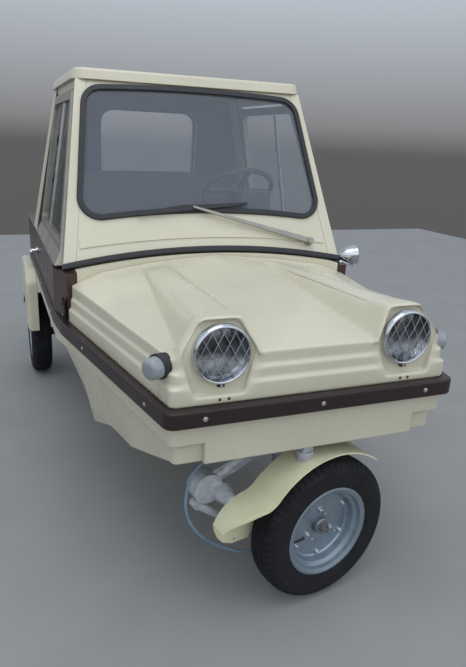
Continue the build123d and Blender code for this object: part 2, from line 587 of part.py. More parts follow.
# Rear wall with its window and the quarters that meet the doors
REAR_LEAN = atan2(REAR_WALL_Y - REAR_TOP_Y, ROOF_SEAM_Z - COWL_Z)
REAR_FACE = Plane(origin=(0, REAR_WALL_Y, COWL_Z), x_dir=(-1, 0, 0),
                  z_dir=(0, cos(REAR_LEAN), sin(REAR_LEAN)))
REAR_LENGTH = (ROOF_SEAM_Z - COWL_Z) / cos(REAR_LEAN)
REAR_WINDOW = (510.0, 360.0)
REAR_WINDOW_MID = REAR_LENGTH - 50.0 - REAR_WINDOW[1] / 2
REAR_WINDOW_CORNER = 80.0
QUARTER_HALF = SIDE_HALF - 4.0


def rear_window(plane, inward):
    """The rear window's rubber line, moved inward."""
    wide, tall = [size - 2 * inward for size in REAR_WINDOW]
    with BuildSketch(plane) as face:
        with Locations((0, REAR_WINDOW_MID)):
            RectangleRounded(wide, tall, REAR_WINDOW_CORNER - inward)
    return face.sketch


def quarter(side, z, half, rear):
    """Section of the body between the door and the rear wall."""
    points = [(half - SIDE_THICK, DOOR_REAR_Y), (half, DOOR_REAR_Y), (half, rear), (half - SIDE_THICK, rear)]
    return outline(Plane.XY.offset(z), [(side * x, y) for x, y in points])


with BuildPart() as rear_wall:
    wall = [(-QUARTER_HALF, 14), (QUARTER_HALF, 14), (ROOF_HALF, REAR_LENGTH), (-ROOF_HALF, REAR_LENGTH)]
    prism(REAR_FACE, wall, -PANEL_THICK)
    for side in (-1, 1):
        loft([quarter(side, RAIL_Z + SEAT, QUARTER_HALF, REAR_WALL_Y - 8),
              quarter(side, ROOF_SEAM_Z, ROOF_HALF, REAR_TOP_Y - 8)], ruled=True)
    extrude(rear_window(REAR_FACE, SEAL / 2), amount=100, both=True, mode=Mode.SUBTRACT)
    behind_doors = (DOOR_REAR_Y - 200, REAR_WALL_Y + 200)
    slab((-SIDE_HALF, SIDE_HALF), behind_doors, (ROOF_SEAM_Z - SEAT, ROOF_TOP_Z + 100), Mode.SUBTRACT)
    slab((-SIDE_HALF, SIDE_HALF), behind_doors, (RAIL_Z - 60, RAIL_Z + SEAT), Mode.SUBTRACT)
    for side in (-1, 1):
        slab((side * (ROOF_HALF - 36), side * ROOF_HALF), (DOOR_REAR_Y - 40, REAR_TOP_Y - 34),
             (RAIL_LOW - SEAT, ROOF_TOP_Z), Mode.SUBTRACT)
save(rear_wall, "rear_wall")
with BuildPart() as rear_window_seal:
    extrude(rear_window(REAR_FACE.offset(SEAT), 0), amount=SEAL_PROUD)
    extrude(rear_window(REAR_FACE.offset(-12), SEAL / 2 + SEAT), amount=14)
    extrude(rear_window(REAR_FACE.offset(-20), SEAL), amount=60, mode=Mode.SUBTRACT)
save(rear_window_seal, "rear_window_seal")
with BuildPart() as rear_window_pane:
    extrude(rear_window(REAR_FACE.offset(-4), SEAL + SEAT), amount=GLASS)
save(rear_window_pane, "rear_window")

# Doors: a brown panel, a framed upper part that leans in with the cab, a clear window and a lever handle
DOOR_TOP_Z = RAIL_LOW - FIT
LEAN = Plane(origin=(SIDE_HALF - 24, 0, WINDOW_Z), x_dir=(0, 1, 0), z_dir=(cos(TUMBLE), 0, sin(TUMBLE)))
LEAN_LENGTH = (DOOR_TOP_Z - WINDOW_Z) / cos(TUMBLE)
FRAME_WIDTH = 34.0
FRAME_THICK = 26.0
PANE_THICK = 3.0
PANE_CORNER = 24.0
HANDLE_Y = DOOR_REAR_Y - 70.0
HANDLE_Z = RAIL_Z - 82.0
LEVER = (90.0, 16.0, 9.0)
FRONT = DOOR_FRONT_Y + DOOR_GAP
REAR = DOOR_REAR_Y - DOOR_GAP


def pillar_y(z):
    """Where the door's front edge runs, clear of the pillar's rear face at that height."""
    return COWL_Y + (z - COWL_Z) * tan(RAKE) + PANEL_THICK / cos(RAKE) + FIT


WINDOW_OUTLINE = [(pillar_y(WINDOW_Z), 0), (REAR, 0), (REAR, LEAN_LENGTH),
                  (pillar_y(DOOR_TOP_Z), LEAN_LENGTH)]
AHEAD = [(pillar_y(RAIL_Z - 20), RAIL_Z - 20), (pillar_y(WINDOW_Z + 20), WINDOW_Z + 20),
         (HOOD_REAR_Y, WINDOW_Z + 20), (HOOD_REAR_Y, RAIL_Z - 20)]
RAIL_SECTION = [(SIDE_HALF - DOOR_THICK, RAIL_Z + SEAT), (SIDE_HALF - 2, RAIL_Z + SEAT),
                (SIDE_HALF - 24, WINDOW_Z + 6), (SIDE_HALF - DOOR_THICK - 14, WINDOW_Z + 6)]
for side, hand in ((-1, "right"), (1, "left")):
    with BuildPart() as door_panel:
        slab((SIDE_HALF - DOOR_THICK, SIDE_HALF), (FRONT, REAR), (SILL_Z + FIT, RAIL_Z))
        if side < 0:
            mirror(door_panel.part, about=Plane.YZ, mode=Mode.REPLACE)
    save(door_panel, f"door_panel_{hand}")
    with BuildPart() as door_frame:
        prism(Plane.XZ.offset(-pillar_y(RAIL_Z)), RAIL_SECTION, pillar_y(RAIL_Z) - REAR)
        prism(Plane.YZ.offset(SIDE_HALF - BEYOND), AHEAD, 2 * BEYOND, Mode.SUBTRACT)
        prism(LEAN, WINDOW_OUTLINE, -FRAME_THICK)
        with BuildSketch(LEAN.offset(10)) as opening:
            Polygon(*WINDOW_OUTLINE, align=None)
            offset(amount=-FRAME_WIDTH, mode=Mode.REPLACE)
            fillet(opening.vertices(), PANE_CORNER)
        extrude(opening.sketch, amount=-60, mode=Mode.SUBTRACT)
        if side < 0:
            mirror(door_frame.part, about=Plane.YZ, mode=Mode.REPLACE)
    save(door_frame, f"door_frame_{hand}")
    with BuildPart() as door_window:
        with BuildSketch(LEAN.offset(-8)) as pane:
            Polygon(*WINDOW_OUTLINE, align=None)
            offset(amount=-FRAME_WIDTH - SEAT, mode=Mode.REPLACE)
            fillet(pane.vertices(), PANE_CORNER)
        extrude(pane.sketch, amount=-PANE_THICK)
        if side < 0:
            mirror(door_window.part, about=Plane.YZ, mode=Mode.REPLACE)
    save(door_window, f"door_window_{hand}")
    with BuildPart() as door_handle:
        for low, high, radius in ((SEAT, 8, 17), (7, 30, 8)):
            rod((side * (SIDE_HALF + low), HANDLE_Y, HANDLE_Z),
                (side * (SIDE_HALF + high), HANDLE_Y, HANDLE_Z), radius)
        with Locations((side * (SIDE_HALF + 34), HANDLE_Y, HANDLE_Z)):
            Box(LEVER[2], LEVER[0], LEVER[1])
        fillet(door_handle.edges().filter_by(Axis.X).group_by(Axis.Y)[0], 7)
        fillet(door_handle.edges().filter_by(Axis.X).group_by(Axis.Y)[-1], 7)
    save(door_handle, f"door_handle_{hand}")


# Wheels
def tyre_part():
    with BuildPart() as tyre:
        with BuildSketch(Plane.XZ):
            with BuildLine():
                Polyline((BEAD_R + 2, -40.4), (BEAD_R + 2, 40.4), (RIM_R, 42.4), (RIM_R + 0.5, 47))
                ThreePointArc((RIM_R + 0.5, 47), (178, TYRE_HALF), (206, 45))
                ThreePointArc((206, 45), (215, 36), (219, 24))
                ThreePointArc((219, 24), (TYRE_R, 0), (219, -24))
                ThreePointArc((219, -24), (215, -36), (206, -45))
                ThreePointArc((206, -45), (178, -TYRE_HALF), (RIM_R + 0.5, -47))
                Polyline((RIM_R + 0.5, -47), (RIM_R, -42.4), (BEAD_R + 2, -40.4))
            make_face()
        revolve(axis=Axis.Z)
    return tyre.part


# Half section of the pressed rim: flat disc, step, sloping well and rolled flange, as radius and width
RIM_PROFILE = ((HUB_R, DISC_HALF), (100.0, DISC_HALF), (105.0, 7.0), (110.0, 26.0), (121.0, 32.0),
               (123.5, 44.0), (134.0, 48.5), (RIM_R, 46.5), (RIM_R, 43.0), (BEAD_R + 1.5, 41.0),
               (BEAD_R + 1.5, 30.0), (116.0, 25.0), (112.0, 0.0))
# Nuts on its face: circle radius, count, first angle, half width, height
RIM_NUTS = ((SPLIT_BOLT_R, 6, 30, 7, 6), (STUD_CIRCLE_R, 3, 90, 8.5, 8))
STUD_LENGTH = 24.0


def rim_part():
    with BuildPart() as rim:
        with BuildSketch(Plane.XZ):
            Polygon(*RIM_PROFILE, (HUB_R, 0), align=None)
            mirror(about=Plane.XZ)
        revolve(axis=Axis.Z)
        for radius, count, start, half_width, height in RIM_NUTS:
            with BuildSketch(Plane.XY.offset(DISC_HALF)) as nuts:
                with PolarLocations(radius, count, start_angle=start):
                    RegularPolygon(half_width, 6)
            extrude(nuts.sketch, amount=height)
        with BuildSketch(Plane.XY.offset(DISC_HALF)) as studs:
            with PolarLocations(STUD_CIRCLE_R, 3, start_angle=90):
                Circle(STUD_R)
        extrude(studs.sketch, amount=STUD_LENGTH)
    return rim.part


def hub_part():
    """Drum on the inner side, bearing boss and castle nut on the outer side; outward is +Z."""
    with BuildPart() as hub:
        for radius, amount in ((64.0, 3 - SEAT), (DRUM_R, -DRUM_DEPTH), (HUB_R - SEAT, 26.0)):
            with BuildSketch(Plane.XY.offset(-DISC_HALF - 3)) as disc:
                Circle(radius)
            extrude(disc.sketch, amount=amount)
        fillet(hub.faces().sort_by(Axis.Z)[-1].edges(), 5)
        with BuildSketch(Plane.XY.offset(20)) as nut:
            RegularPolygon(14, 6)
        extrude(nut.sketch, amount=12)
        with BuildSketch(Plane.XY.offset(32)) as castle:
            Circle(11)
        extrude(castle.sketch, amount=6)
        with BuildSketch(Plane.XY.offset(33)) as slots:
            Rectangle(30, 3.2)
            Rectangle(3.2, 30)
        extrude(slots.sketch, amount=8, mode=Mode.SUBTRACT)
    return hub.part


def wheel_plane(x, y, outward):
    return Plane(origin=(x, y, TYRE_R), x_dir=(0, 1, 0), z_dir=(outward, 0, 0))


STEER_AXIS = Location((0, STEER_Y, 0))
REST_TURN = STEER_AXIS * Location((0, 0, 0), (0, 0, STEER_ANGLE)) * STEER_AXIS.inverse()
tyre_shape = tyre_part()
rim_shape = rim_part()
hub_shape = hub_part()
for name, at, turn in (("front", wheel_plane(0, HUB_Y, 1), REST_TURN),
                       ("rear_left", wheel_plane(REAR_TRACK_HALF, REAR_AXLE_Y, 1), Location()),
                       ("rear_right", wheel_plane(-REAR_TRACK_HALF, REAR_AXLE_Y, -1), Location())):
    with BuildPart() as tyre:
        add(tyre_shape)
    save(tyre, f"{name}_tyre", turn * at.location)
    with BuildPart() as rim:
        add(rim_shape)
    save(rim, f"{name}_rim", turn * at.location)
    with BuildPart() as hub:
        add(hub_shape)
    save(hub, f"{name}_hub", turn * at.location)

# Steering head on the body: a tube held by two beams under the nose
BEAM_X = (40.0, 64.0)
BEAM_Z = (570.0, 610.0)
with BuildPart() as steering_head:
    with BuildSketch(Plane.XY.offset(HEAD_BOTTOM)):
        with Locations((0, STEER_Y)):
            Circle(HEAD_R)
            Circle(STEM_R + SEAT, mode=Mode.SUBTRACT)
    extrude(amount=HEAD_TOP - HEAD_BOTTOM)
    for side in (-1, 1):
        slab((side * (HEAD_R - 4), side * 60), (STEER_Y - 4, STEER_Y + 18), (BEAM_Z[0] - 10, BEAM_Z[1] + 10))
        slab((side * BEAM_X[0], side * BEAM_X[1]), (STEER_Y - 4, BAY_REAR_Y - SEAT), BEAM_Z)
save(steering_head, "steering_head")

# Fork: stem, crown over the fender, a leg down the wheel's inner side to the round clamp of the arm
LEG_R = 17.0
CLAMP_OUT = FORK_X - CLAMP_DEPTH / 2
VALANCE_X = -FENDER_INNER - 3.0
CONE_AT = (STEER_Y - 190.0, 338.0)
CABLE_R = 4.0

# Brake cable's points, chosen by hand, from the gland on the crown round to the back plate:
# across the car, ahead of the steering axis, height
CABLE_POINTS = ((-100.0, 45.0, 480.0), (-100.0, 110.0, 474.0), (-101.0, 180.0, 477.0),
                (-101.0, 245.0, 474.0), (-100.0, 295.0, 446.0), (-100.0, 316.0, 385.0),
                (-100.0, 316.0, 322.0), (-100.0, 292.0, 262.0), (-99.0, 251.0, 213.0),
                (-96.0, 200.0, 174.0), (-92.0, 146.0, 140.0), (-88.0, 96.0, 127.0),
                (-81.0, 45.0, 138.0), (-72.0, 2.0, 166.0))
CABLE_ROUTE = [(x, STEER_Y - ahead, z) for x, ahead, z in CABLE_POINTS]


def gland(end, toward, length, radius):
    """A boss in line with a cable's end, that the end meets face to face."""
    run = Vector(*end) - Vector(*toward)
    rod(tuple(Vector(*end) + run.normalized() * length), end, radius)


with BuildPart() as steering_stem:
    rod((0, STEER_Y, CROWN_Z), (0, STEER_Y, HEAD_TOP + 30), STEM_R)
    rod((14, STEER_Y, CROWN_Z), (FORK_X - 12, STEER_Y, CROWN_Z), 19)
    rod((0, STEER_Y, CROWN_Z - 70), (0, STEER_Y, CROWN_Z), 24)
    across(-100, (HUB_Y, TYRE_R), FENDER_R + SEAT, 200, Mode.SUBTRACT)
    rod((FORK_X, STEER_Y - 4, CROWN_Z + 2), (FORK_X, *CLAMP), LEG_R)
    across(CLAMP_OUT, CLAMP, CLAMP_R, CLAMP_DEPTH)
    across(CLAMP_OUT - 1, CLAMP, CLAMP_R - 10, 8, Mode.SUBTRACT)
    across(CLAMP_OUT - 1, CLAMP, 13, 12)
    web = [(CLAMP[0] + 20, CLAMP[1] + 38), (STEER_Y - 40, CROWN_Z - 20), (STEER_Y - 60, CROWN_Z - 75),
           (CLAMP[0] + 44, CLAMP[1])]
    prism(Plane.YZ.offset(FORK_X - 5), web, 10)
    with BuildSketch(Plane.YZ.offset(CLAMP_OUT + CLAMP_DEPTH - 2)) as wide:
        with Locations(CONE_AT):
            Circle(30)
    with BuildSketch(Plane.YZ.offset(VALANCE_X - SEAT)) as narrow:
        with Locations(CONE_AT):
            Circle(17)
    loft([wide.sketch, narrow.sketch])
    gland(CABLE_ROUTE[0], CABLE_ROUTE[1], 34, 8)
save(steering_stem, "steering_stem", REST_TURN)

# Trailing arm from the clamp back to the hub, with the brake's back plate and the spring over it
ARM_X = -DISC_HALF - 3 - DRUM_DEPTH - SEAT
ARM_R = 13.0
KNEE = (-96.0, STEER_Y - 150.0, 236.0)
SPRING_X = FORK_X + 22.0
SPRING_Y = STEER_Y + 16.0
SPRING_R = 34.0
SPRING_WIRE = 6.0
SPRING_LOW = 262.0
SPRING_TURNS = 12
SPRING_TOP = CROWN_Z - 19.0 - SEAT
PLATE = 8.0
EYE_R = 14.0
EYE_DIP_ANGLE = 63.2
eye_reach = CLAMP_R + EYE_R + SEAT
ARM_EYE = (CLAMP[0] - eye_reach * cos(radians(EYE_DIP_ANGLE)),
           CLAMP[1] - eye_reach * sin(radians(EYE_DIP_ANGLE)))
with BuildPart() as front_arm:
    across(ARM_X - PLATE, (HUB_Y, TYRE_R), DRUM_R, PLATE)
    across(ARM_X - 58, (HUB_Y, TYRE_R), 30, 58 - 1)
    rod((ARM_X - 44, HUB_Y, TYRE_R), KNEE, ARM_R)
    with Locations(KNEE):
        Sphere(ARM_R)
    rod(KNEE, (FORK_X, *ARM_EYE), ARM_R)
    across(FORK_X - EYE_R, ARM_EYE, EYE_R, 2 * EYE_R)
    pitch = (SPRING_TOP - SPRING_LOW) / SPRING_TURNS
    ridges = [(SPRING_R - (0 if i % 2 else SPRING_WIRE), SPRING_LOW + i * pitch / 2)
              for i in range(2 * SPRING_TURNS + 1)]
    with BuildSketch(Plane.XZ):
        Polygon((0, SPRING_LOW - 30), (20, SPRING_LOW - 30), (20, SPRING_LOW - 4),
                (SPRING_R, SPRING_LOW - 4), *ridges, (0, SPRING_TOP), align=None)
    spring = revolve(axis=Axis.Z, mode=Mode.PRIVATE)
    add(spring.moved(Location((SPRING_X, SPRING_Y, 0))))
    rod((ARM_X - 20, HUB_Y, TYRE_R + 12), (SPRING_X, SPRING_Y, SPRING_LOW - 22), 15)
    gland(CABLE_ROUTE[-1], CABLE_ROUTE[-2], 34, 7)
    rod((ARM_X - 4, STEER_Y + 24, 190), (-66, STEER_Y + 24, 184), 9)
save(front_arm, "front_arm", REST_TURN)

# Brake cable, swept round its route
points = [Vector(*p) for p in CABLE_ROUTE]
BEND_SHARE = 0.45  # part of the shorter run that a bend takes at each end
radii = []
for before, here, after in zip(points, points[1:], points[2:]):
    bend = (here - before).get_angle(after - here)
    radii.append(BEND_SHARE * min((here - before).length, (after - here).length) / tan(radians(bend) / 2))
with BuildPart() as brake_cable:
    with BuildLine() as cable_line:
        FilletPolyline(*points, radius=radii)
    with BuildSketch(Plane(origin=points[0], z_dir=points[1] - points[0])):
        Circle(CABLE_R)
    sweep(path=cable_line.wire())
cable_length = cable_line.wire().length
print("cable length", cable_length)
print("volume ratio", brake_cable.part.volume / (radians(180) * CABLE_R ** 2 * cable_length))
save(brake_cable, "brake_cable", REST_TURN)


# Fender: a strip over the tyre that levels out ahead of it and curls down, with a valance on the fork's side
def fender_lead(start):
    """The fender's line from an angle off the crest, in degrees, down to its tip; returns both ends."""
    crown = CenterArc((HUB_Y, TYRE_R), FENDER_R, 90 + start, FENDER_LEAD_ANGLE - start)
    shelf = TangentArc(crown @ 1, FENDER_SHELF, tangent=crown % 1)
    tip = TangentArc(shelf @ 1, FENDER_TIP, tangent=shelf % 1)
    return crown @ 0, tip @ 1


VALANCE_ANGLE = 42.5
VALANCE_EDGE = [(FENDER_TIP[0] + 4, 262.0), (FENDER_TIP[0] + 14, 238.0), (FENDER_TIP[0] + 32, 217.0),
                (FENDER_TIP[0] + 62, 205.0), (STEER_Y - 134, 206.0), (STEER_Y - 110, 262.0)]
with BuildPart() as front_fender:
    with BuildSketch(Plane.YZ.offset(-FENDER_INNER)):
        with BuildLine():
            fender_lead(-FENDER_TAIL_ANGLE)
            offset(amount=FENDER_THICK, side=Side.LEFT)
        make_face()
    extrude(amount=FENDER_INNER + FENDER_OUTER)
    with BuildSketch(Plane.XY.offset(200)):
        with BuildLine():
            sweep_in = Spline((FENDER_OUTER, STEER_Y - 140), (52, STEER_Y - 168), (43, STEER_Y - 195),
                              (23, STEER_Y - 220), (-4, STEER_Y - 241), (-34, STEER_Y - 262))
            Polyline(sweep_in @ 1, (-34, STEER_Y - 300), (100, STEER_Y - 300), (100, STEER_Y - 140),
                     sweep_in @ 0)
        make_face()
    extrude(amount=300, mode=Mode.SUBTRACT)
    with BuildSketch(Plane.YZ.offset(VALANCE_X)):
        with BuildLine():
            back, tip = fender_lead(VALANCE_ANGLE)
            Polyline(tip, *VALANCE_EDGE, back)
        make_face()
    extrude(amount=3)
    across(VALANCE_X - 5, (STEER_Y - 180, 216.0), 4, 20, Mode.SUBTRACT)
save(front_fender, "front_fender", REST_TURN)

# Rear running gear: pivot tube, two arms, axle stubs, and the engine ahead of the axle
ARM_HALF = FLOOR_HALF - 50.0
PIVOT = (REAR_WALL_Y - 60.0, 285.0)
ENGINE_HALF = 150.0
ENGINE_Z = (TYRE_R + 60, TYRE_R + 330)
PIVOT_R = 18.0
INNER_ARM_X = 120.0
with BuildPart() as rear_frame:
    rod((-FLOOR_HALF + 10, *PIVOT), (FLOOR_HALF - 10, *PIVOT), PIVOT_R)
    for side in (-1, 1):
        for x, radius in ((side * ARM_HALF, 20), (side * INNER_ARM_X, 14)):
            rod((x, *PIVOT), (x, REAR_AXLE_Y, TYRE_R), radius)
        slab((side * ARM_HALF, side * (PAN_HALF - 2)), (PIVOT[0] - 16, PIVOT[0] + 16),
             (PIVOT[1], FLOOR_Z - SEAT))
    stub = REAR_TRACK_HALF - DISC_HALF - 3 - DRUM_DEPTH - SEAT
    rod((-stub, REAR_AXLE_Y, TYRE_R), (stub, REAR_AXLE_Y, TYRE_R), 22)
    cradle = (PIVOT[0] - 10, REAR_AXLE_Y + ENGINE_HALF)
    slab((-ENGINE_HALF, ENGINE_HALF), cradle, (TYRE_R + 10, ENGINE_Z[0] - SEAT))
    slab((-ENGINE_HALF + 10, ENGINE_HALF - 10), (cradle[0] + 40, cradle[1] - 10), (TYRE_R, TYRE_R + 50),
         Mode.SUBTRACT)
save(rear_frame, "rear_frame")
with BuildPart() as engine_block:
    slab((-ENGINE_HALF, ENGINE_HALF), (REAR_AXLE_Y - ENGINE_HALF, REAR_AXLE_Y + ENGINE_HALF), ENGINE_Z)
save(engine_block, "engine_block")

# Rear fenders: hollow shells with rounded outer edges, open below and round the wheel
SHELL = 5.0
SHELL_ROUND = 22.0
SHELL_CORNER = 40.0
# Their side outline, from the axle
REAR_FENDER = ((-254.0, 305.0), (-254.0, 560.0), (-184.0, 628.0),
               (166.0, 628.0), (236.0, 560.0), (236.0, 340.0))


def rear_fender_side(x, inward):
    """A rear fender's side outline at x, moved inward."""
    with BuildSketch(Plane.YZ.offset(x)) as face:
        Polygon(*[(REAR_AXLE_Y + y, z) for y, z in REAR_FENDER], align=None)
        fillet(face.vertices().group_by(Axis.Y)[-1] + face.vertices().group_by(Axis.Y)[-2], SHELL_CORNER)
        if inward:
            offset(amount=-inward, mode=Mode.REPLACE)
    return face.sketch


with BuildPart() as rear_fenders:
    for side in (-1, 1):
        reach = FENDER_OUT - SIDE_HALF - SEAT
        extrude(rear_fender_side(side * (SIDE_HALF + SEAT), 0), amount=side * reach)
    outer_faces = rear_fenders.faces().filter_by(Axis.X).group_by(Axis.X)
    fillet(outer_faces[0].edges() + outer_faces[-1].edges(), SHELL_ROUND)
    for side in (-1, 1):
        hollow = rear_fender_side(side * SIDE_HALF, SHELL_ROUND)
        extrude(hollow, amount=side * (FENDER_OUT - SIDE_HALF - SHELL), mode=Mode.SUBTRACT)
        wheel_depth = FENDER_OUT - SIDE_HALF + 50
        for depth, radius in ((wheel_depth - SHELL, TYRE_R + 22), (wheel_depth + 20, TYRE_R - 5)):
            start = side * (SIDE_HALF - 50)
            across(min(start, start + side * depth), (REAR_AXLE_Y, TYRE_R), radius, depth, Mode.SUBTRACT)
save(rear_fenders, "rear_fenders")

# Seat, dashboard and steering wheel
SEAT_HALF = FLOOR_HALF - 30.0
SEAT_Y = (110.0, 520.0)
SEAT_Z = (450.0, 560.0)
BACK_TOP = 1130.0
BACK_LEAN = 54.0
BACK_THICK = 76.0
with BuildPart() as seat_cushion:
    slab((-SEAT_HALF, SEAT_HALF), SEAT_Y, SEAT_Z)
    fillet(seat_cushion.edges().filter_by(Axis.X), 30)
save(seat_cushion, "seat_cushion")
with BuildPart() as seat_back:
    back_y = SEAT_Y[1] + 4
    back_side = [(back_y, SEAT_Z[0]), (back_y + BACK_THICK, SEAT_Z[0]),
                 (back_y + BACK_LEAN + BACK_THICK - 8, BACK_TOP), (back_y + BACK_LEAN, BACK_TOP)]
    prism(Plane.YZ.offset(-SEAT_HALF), back_side, 2 * SEAT_HALF)
    fillet(seat_back.edges().filter_by(Axis.X).sort_by(Axis.Z)[-2:], 25)
save(seat_back, "seat_back")
with BuildPart() as seat_base:
    slab((-SEAT_HALF + 20, SEAT_HALF - 20), (SEAT_Y[0] + 10, SEAT_Y[1] + 80), (FLOOR_TOP, SEAT_Z[0] - SEAT))
    slab((-SEAT_HALF + 40, SEAT_HALF - 40), (SEAT_Y[0] - 20, SEAT_Y[1] + 60), (FLOOR_TOP, SEAT_Z[0] - 20),
         Mode.SUBTRACT)
save(seat_base, "seat_base")
DASH_HALF = COWL_HALF - 74.0
DASH_WALL = 12.0
DASH_REAR_Y = COWL_REAR_Y + 112.0
DASH_Z = (COWL_Z - 47.0, COWL_Z + 35.0)
BINNACLE_TOP = DASH_Z[1] + 228.0
BINNACLE = [(WHEEL_AT[0] - 68, DASH_Z[1] - 6), (WHEEL_AT[0] - 60, BINNACLE_TOP),
            (WHEEL_AT[0] + 64, BINNACLE_TOP), (WHEEL_AT[0] + 72, DASH_Z[1] - 6)]
with BuildPart() as dashboard:
    slab((-DASH_HALF, DASH_HALF), (COWL_REAR_Y + SEAT, DASH_REAR_Y), DASH_Z)
    slab((-DASH_HALF + 30, DASH_HALF - 30), (COWL_REAR_Y - 5, DASH_REAR_Y - DASH_WALL),
         (DASH_Z[0] - 10, DASH_Z[1] - DASH_WALL), Mode.SUBTRACT)
    prism(Plane.XZ.offset(-DASH_REAR_Y + 35), BINNACLE, -65)
    rod(COLUMN_FOOT, WHEEL_AT, COLUMN_R + SEAT, Mode.SUBTRACT)
save(dashboard, "dashboard")
WHEEL_RIM_R = 148.0
GRIP_R = 11.0
WHEEL_BOSS_R = 34.0
WHEEL_BOSS_HALF = 14.0
SPOKE_ROOT = 18.0
SPOKE_END = 9.0
WHEEL_PLANE = Plane(origin=WHEEL_AT, x_dir=(1, 0, 0), z_dir=-Vector(*COLUMN_DIR))
with BuildPart() as steering_wheel:
    with BuildSketch(WHEEL_PLANE * Plane.XZ):
        with Locations((WHEEL_RIM_R, 0)):
            Circle(GRIP_R)
    revolve(axis=Axis(WHEEL_PLANE.origin, WHEEL_PLANE.z_dir))
    with BuildSketch(WHEEL_PLANE.offset(-WHEEL_BOSS_HALF)) as boss:
        Circle(WHEEL_BOSS_R)
    extrude(boss.sketch, amount=2 * WHEEL_BOSS_HALF)
    with BuildSketch(WHEEL_PLANE.offset(-6)) as spokes:
        for angle in (0, 180, 270):
            Polygon((0, -SPOKE_ROOT), (WHEEL_RIM_R, -SPOKE_END), (WHEEL_RIM_R, SPOKE_END), (0, SPOKE_ROOT),
                    align=None, rotation=angle)
    extrude(spokes.sketch, amount=9)
save(steering_wheel, "steering_wheel")
with BuildPart() as steering_column:
    rod(COLUMN_FOOT, tuple(Vector(*WHEEL_AT) + Vector(*COLUMN_DIR) * (WHEEL_BOSS_HALF + SEAT)), COLUMN_R)
    with Locations(COLUMN_FOOT):
        Sphere(COLUMN_R)
save(steering_column, "steering_column")

# Wiper across the screen, drawn on the cab's face
WIPER_PIVOT = (COWL_HALF - 131.0, 84.0)
WIPER_TIP = (-60.0, 222.0)
BLADE = ((-270.0, 196.0), (161.0, 235.0))
BLADE_LIFT = 10.0
ARM_LIFT = 18.0
with BuildPart() as wiper:
    with BuildSketch(FACE.offset(SEAT)) as boss:
        with Locations(WIPER_PIVOT):
            Circle(15)
    extrude(boss.sketch, amount=ARM_LIFT + 2)
    with BuildSketch(FACE.offset(ARM_LIFT)) as arm:
        x, y = WIPER_PIVOT
        tip_x, tip_y = WIPER_TIP
        Polygon((x - 6, y - 9), (x + 6, y + 9), (tip_x, tip_y + 4), (tip_x, tip_y - 4), align=None)
    extrude(arm.sketch, amount=7)
    with BuildSketch(FACE.offset(ARM_LIFT)) as knuckle:
        with Locations(WIPER_PIVOT):
            Circle(12)
    extrude(knuckle.sketch, amount=12)
    add(cab_front.part, mode=Mode.SUBTRACT)
save(wiper, "wiper")
with BuildPart() as wiper_blade:
    (x0, y0), (x1, y1) = BLADE
    middle = (y0 + y1) / 2
    bow = [(x0, y0 - 4), (x0, y0 + 6), (x0 * 0.6 + x1 * 0.4, middle + 15),
           (x0 * 0.4 + x1 * 0.6, middle + 16), (x1, y1 + 6), (x1, y1 - 4), ((x0 + x1) / 2, middle - 5)]
    prism(FACE.offset(BLADE_LIFT), bow, ARM_LIFT - BLADE_LIFT - SEAT)
save(wiper_blade, "wiper_blade")

# Mirror on the left cowl corner: a teardrop bowl on a bent stalk, its face to the rear
MIRROR_AT = (SIDE_HALF + 12.0, COWL_Y - 6.0, COWL_Z + 36.0)
MIRROR_R = 42.0
MIRROR_DEPTH = 54.0
with BuildPart() as mirror_left:
    with BuildSketch(Plane.XZ):
        with BuildLine():
            bowl = ThreePointArc((MIRROR_R, 0), (MIRROR_R * 0.66, MIRROR_DEPTH * 0.62), (0, MIRROR_DEPTH))
            Polyline(bowl @ 1, (0, 0), bowl @ 0)
        make_face()
    revolve(axis=Axis.Z)
    mirror_left.part.move(Location(MIRROR_AT, (90, 0, 0)))
    stalk = (COWL_HALF - 5, COWL_Y - 24)
    rod((*stalk, COWL_Z + SEAT), (*stalk, COWL_Z + 10), 9)
    rod((*stalk, COWL_Z + 8), (SIDE_HALF - 8, COWL_Y - 22, MIRROR_AT[2] - 18), 4)
save(mirror_left, "mirror")

# Indicators on the hood's front corners and tail lamps on the rear panel
INDICATOR_ALONG = 52.0
INDICATOR_Z = STRIP_TOP + 96.0
INDICATOR_REACH = 47.0
INDICATOR_SUNK = 22.0
RING_R = 32.0
RING_HIGH = 30.0
LENS_R = 28.0
with BuildPart() as indicators:
    along = (Vector(HOOD_REAR_HALF, HOOD_REAR_Y, 0) - Vector(NOSE_HALF, NOSE_Y, 0)).normalized()
    spot = Vector(NOSE_HALF, NOSE_Y, 0) + along * INDICATOR_ALONG
    for side in (-1, 1):
        outward = Vector(side * along.Y, -along.X, 0)
        foot = Vector(side * spot.X, spot.Y, INDICATOR_Z) - outward * INDICATOR_SUNK
        base = Plane(origin=foot, z_dir=outward)
        with BuildSketch(base) as ring:
            Circle(RING_R)
        extrude(ring.sketch, amount=RING_HIGH)
        with BuildSketch(base.offset(RING_HIGH)) as lens:
            Circle(LENS_R)
        extrude(lens.sketch, amount=INDICATOR_REACH - 8, taper=4)
    fillet(indicators.edges().filter_by(GeomType.CIRCLE).group_by(Axis.X)[0], 8)
    fillet(indicators.edges().filter_by(GeomType.CIRCLE).group_by(Axis.X)[-1], 8)
    add(hood_outside, mode=Mode.SUBTRACT)
save(indicators, "indicators")
TAIL_LAMP_X = (TAIL_HALF - 102.0, TAIL_HALF - 32.0)
TAIL_LAMP_Z = (STRIP_TOP + 38.0, STRIP_TOP + 123.0)
TAIL_LAMP_DEPTH = 26.0
with BuildPart() as tail_lamps:
    for side in (-1, 1):
        slab((side * TAIL_LAMP_X[0], side * TAIL_LAMP_X[1]), (TAIL_Y + SEAT, TAIL_Y + TAIL_LAMP_DEPTH),
             TAIL_LAMP_Z)
save(tail_lamps, "tail_lamps")
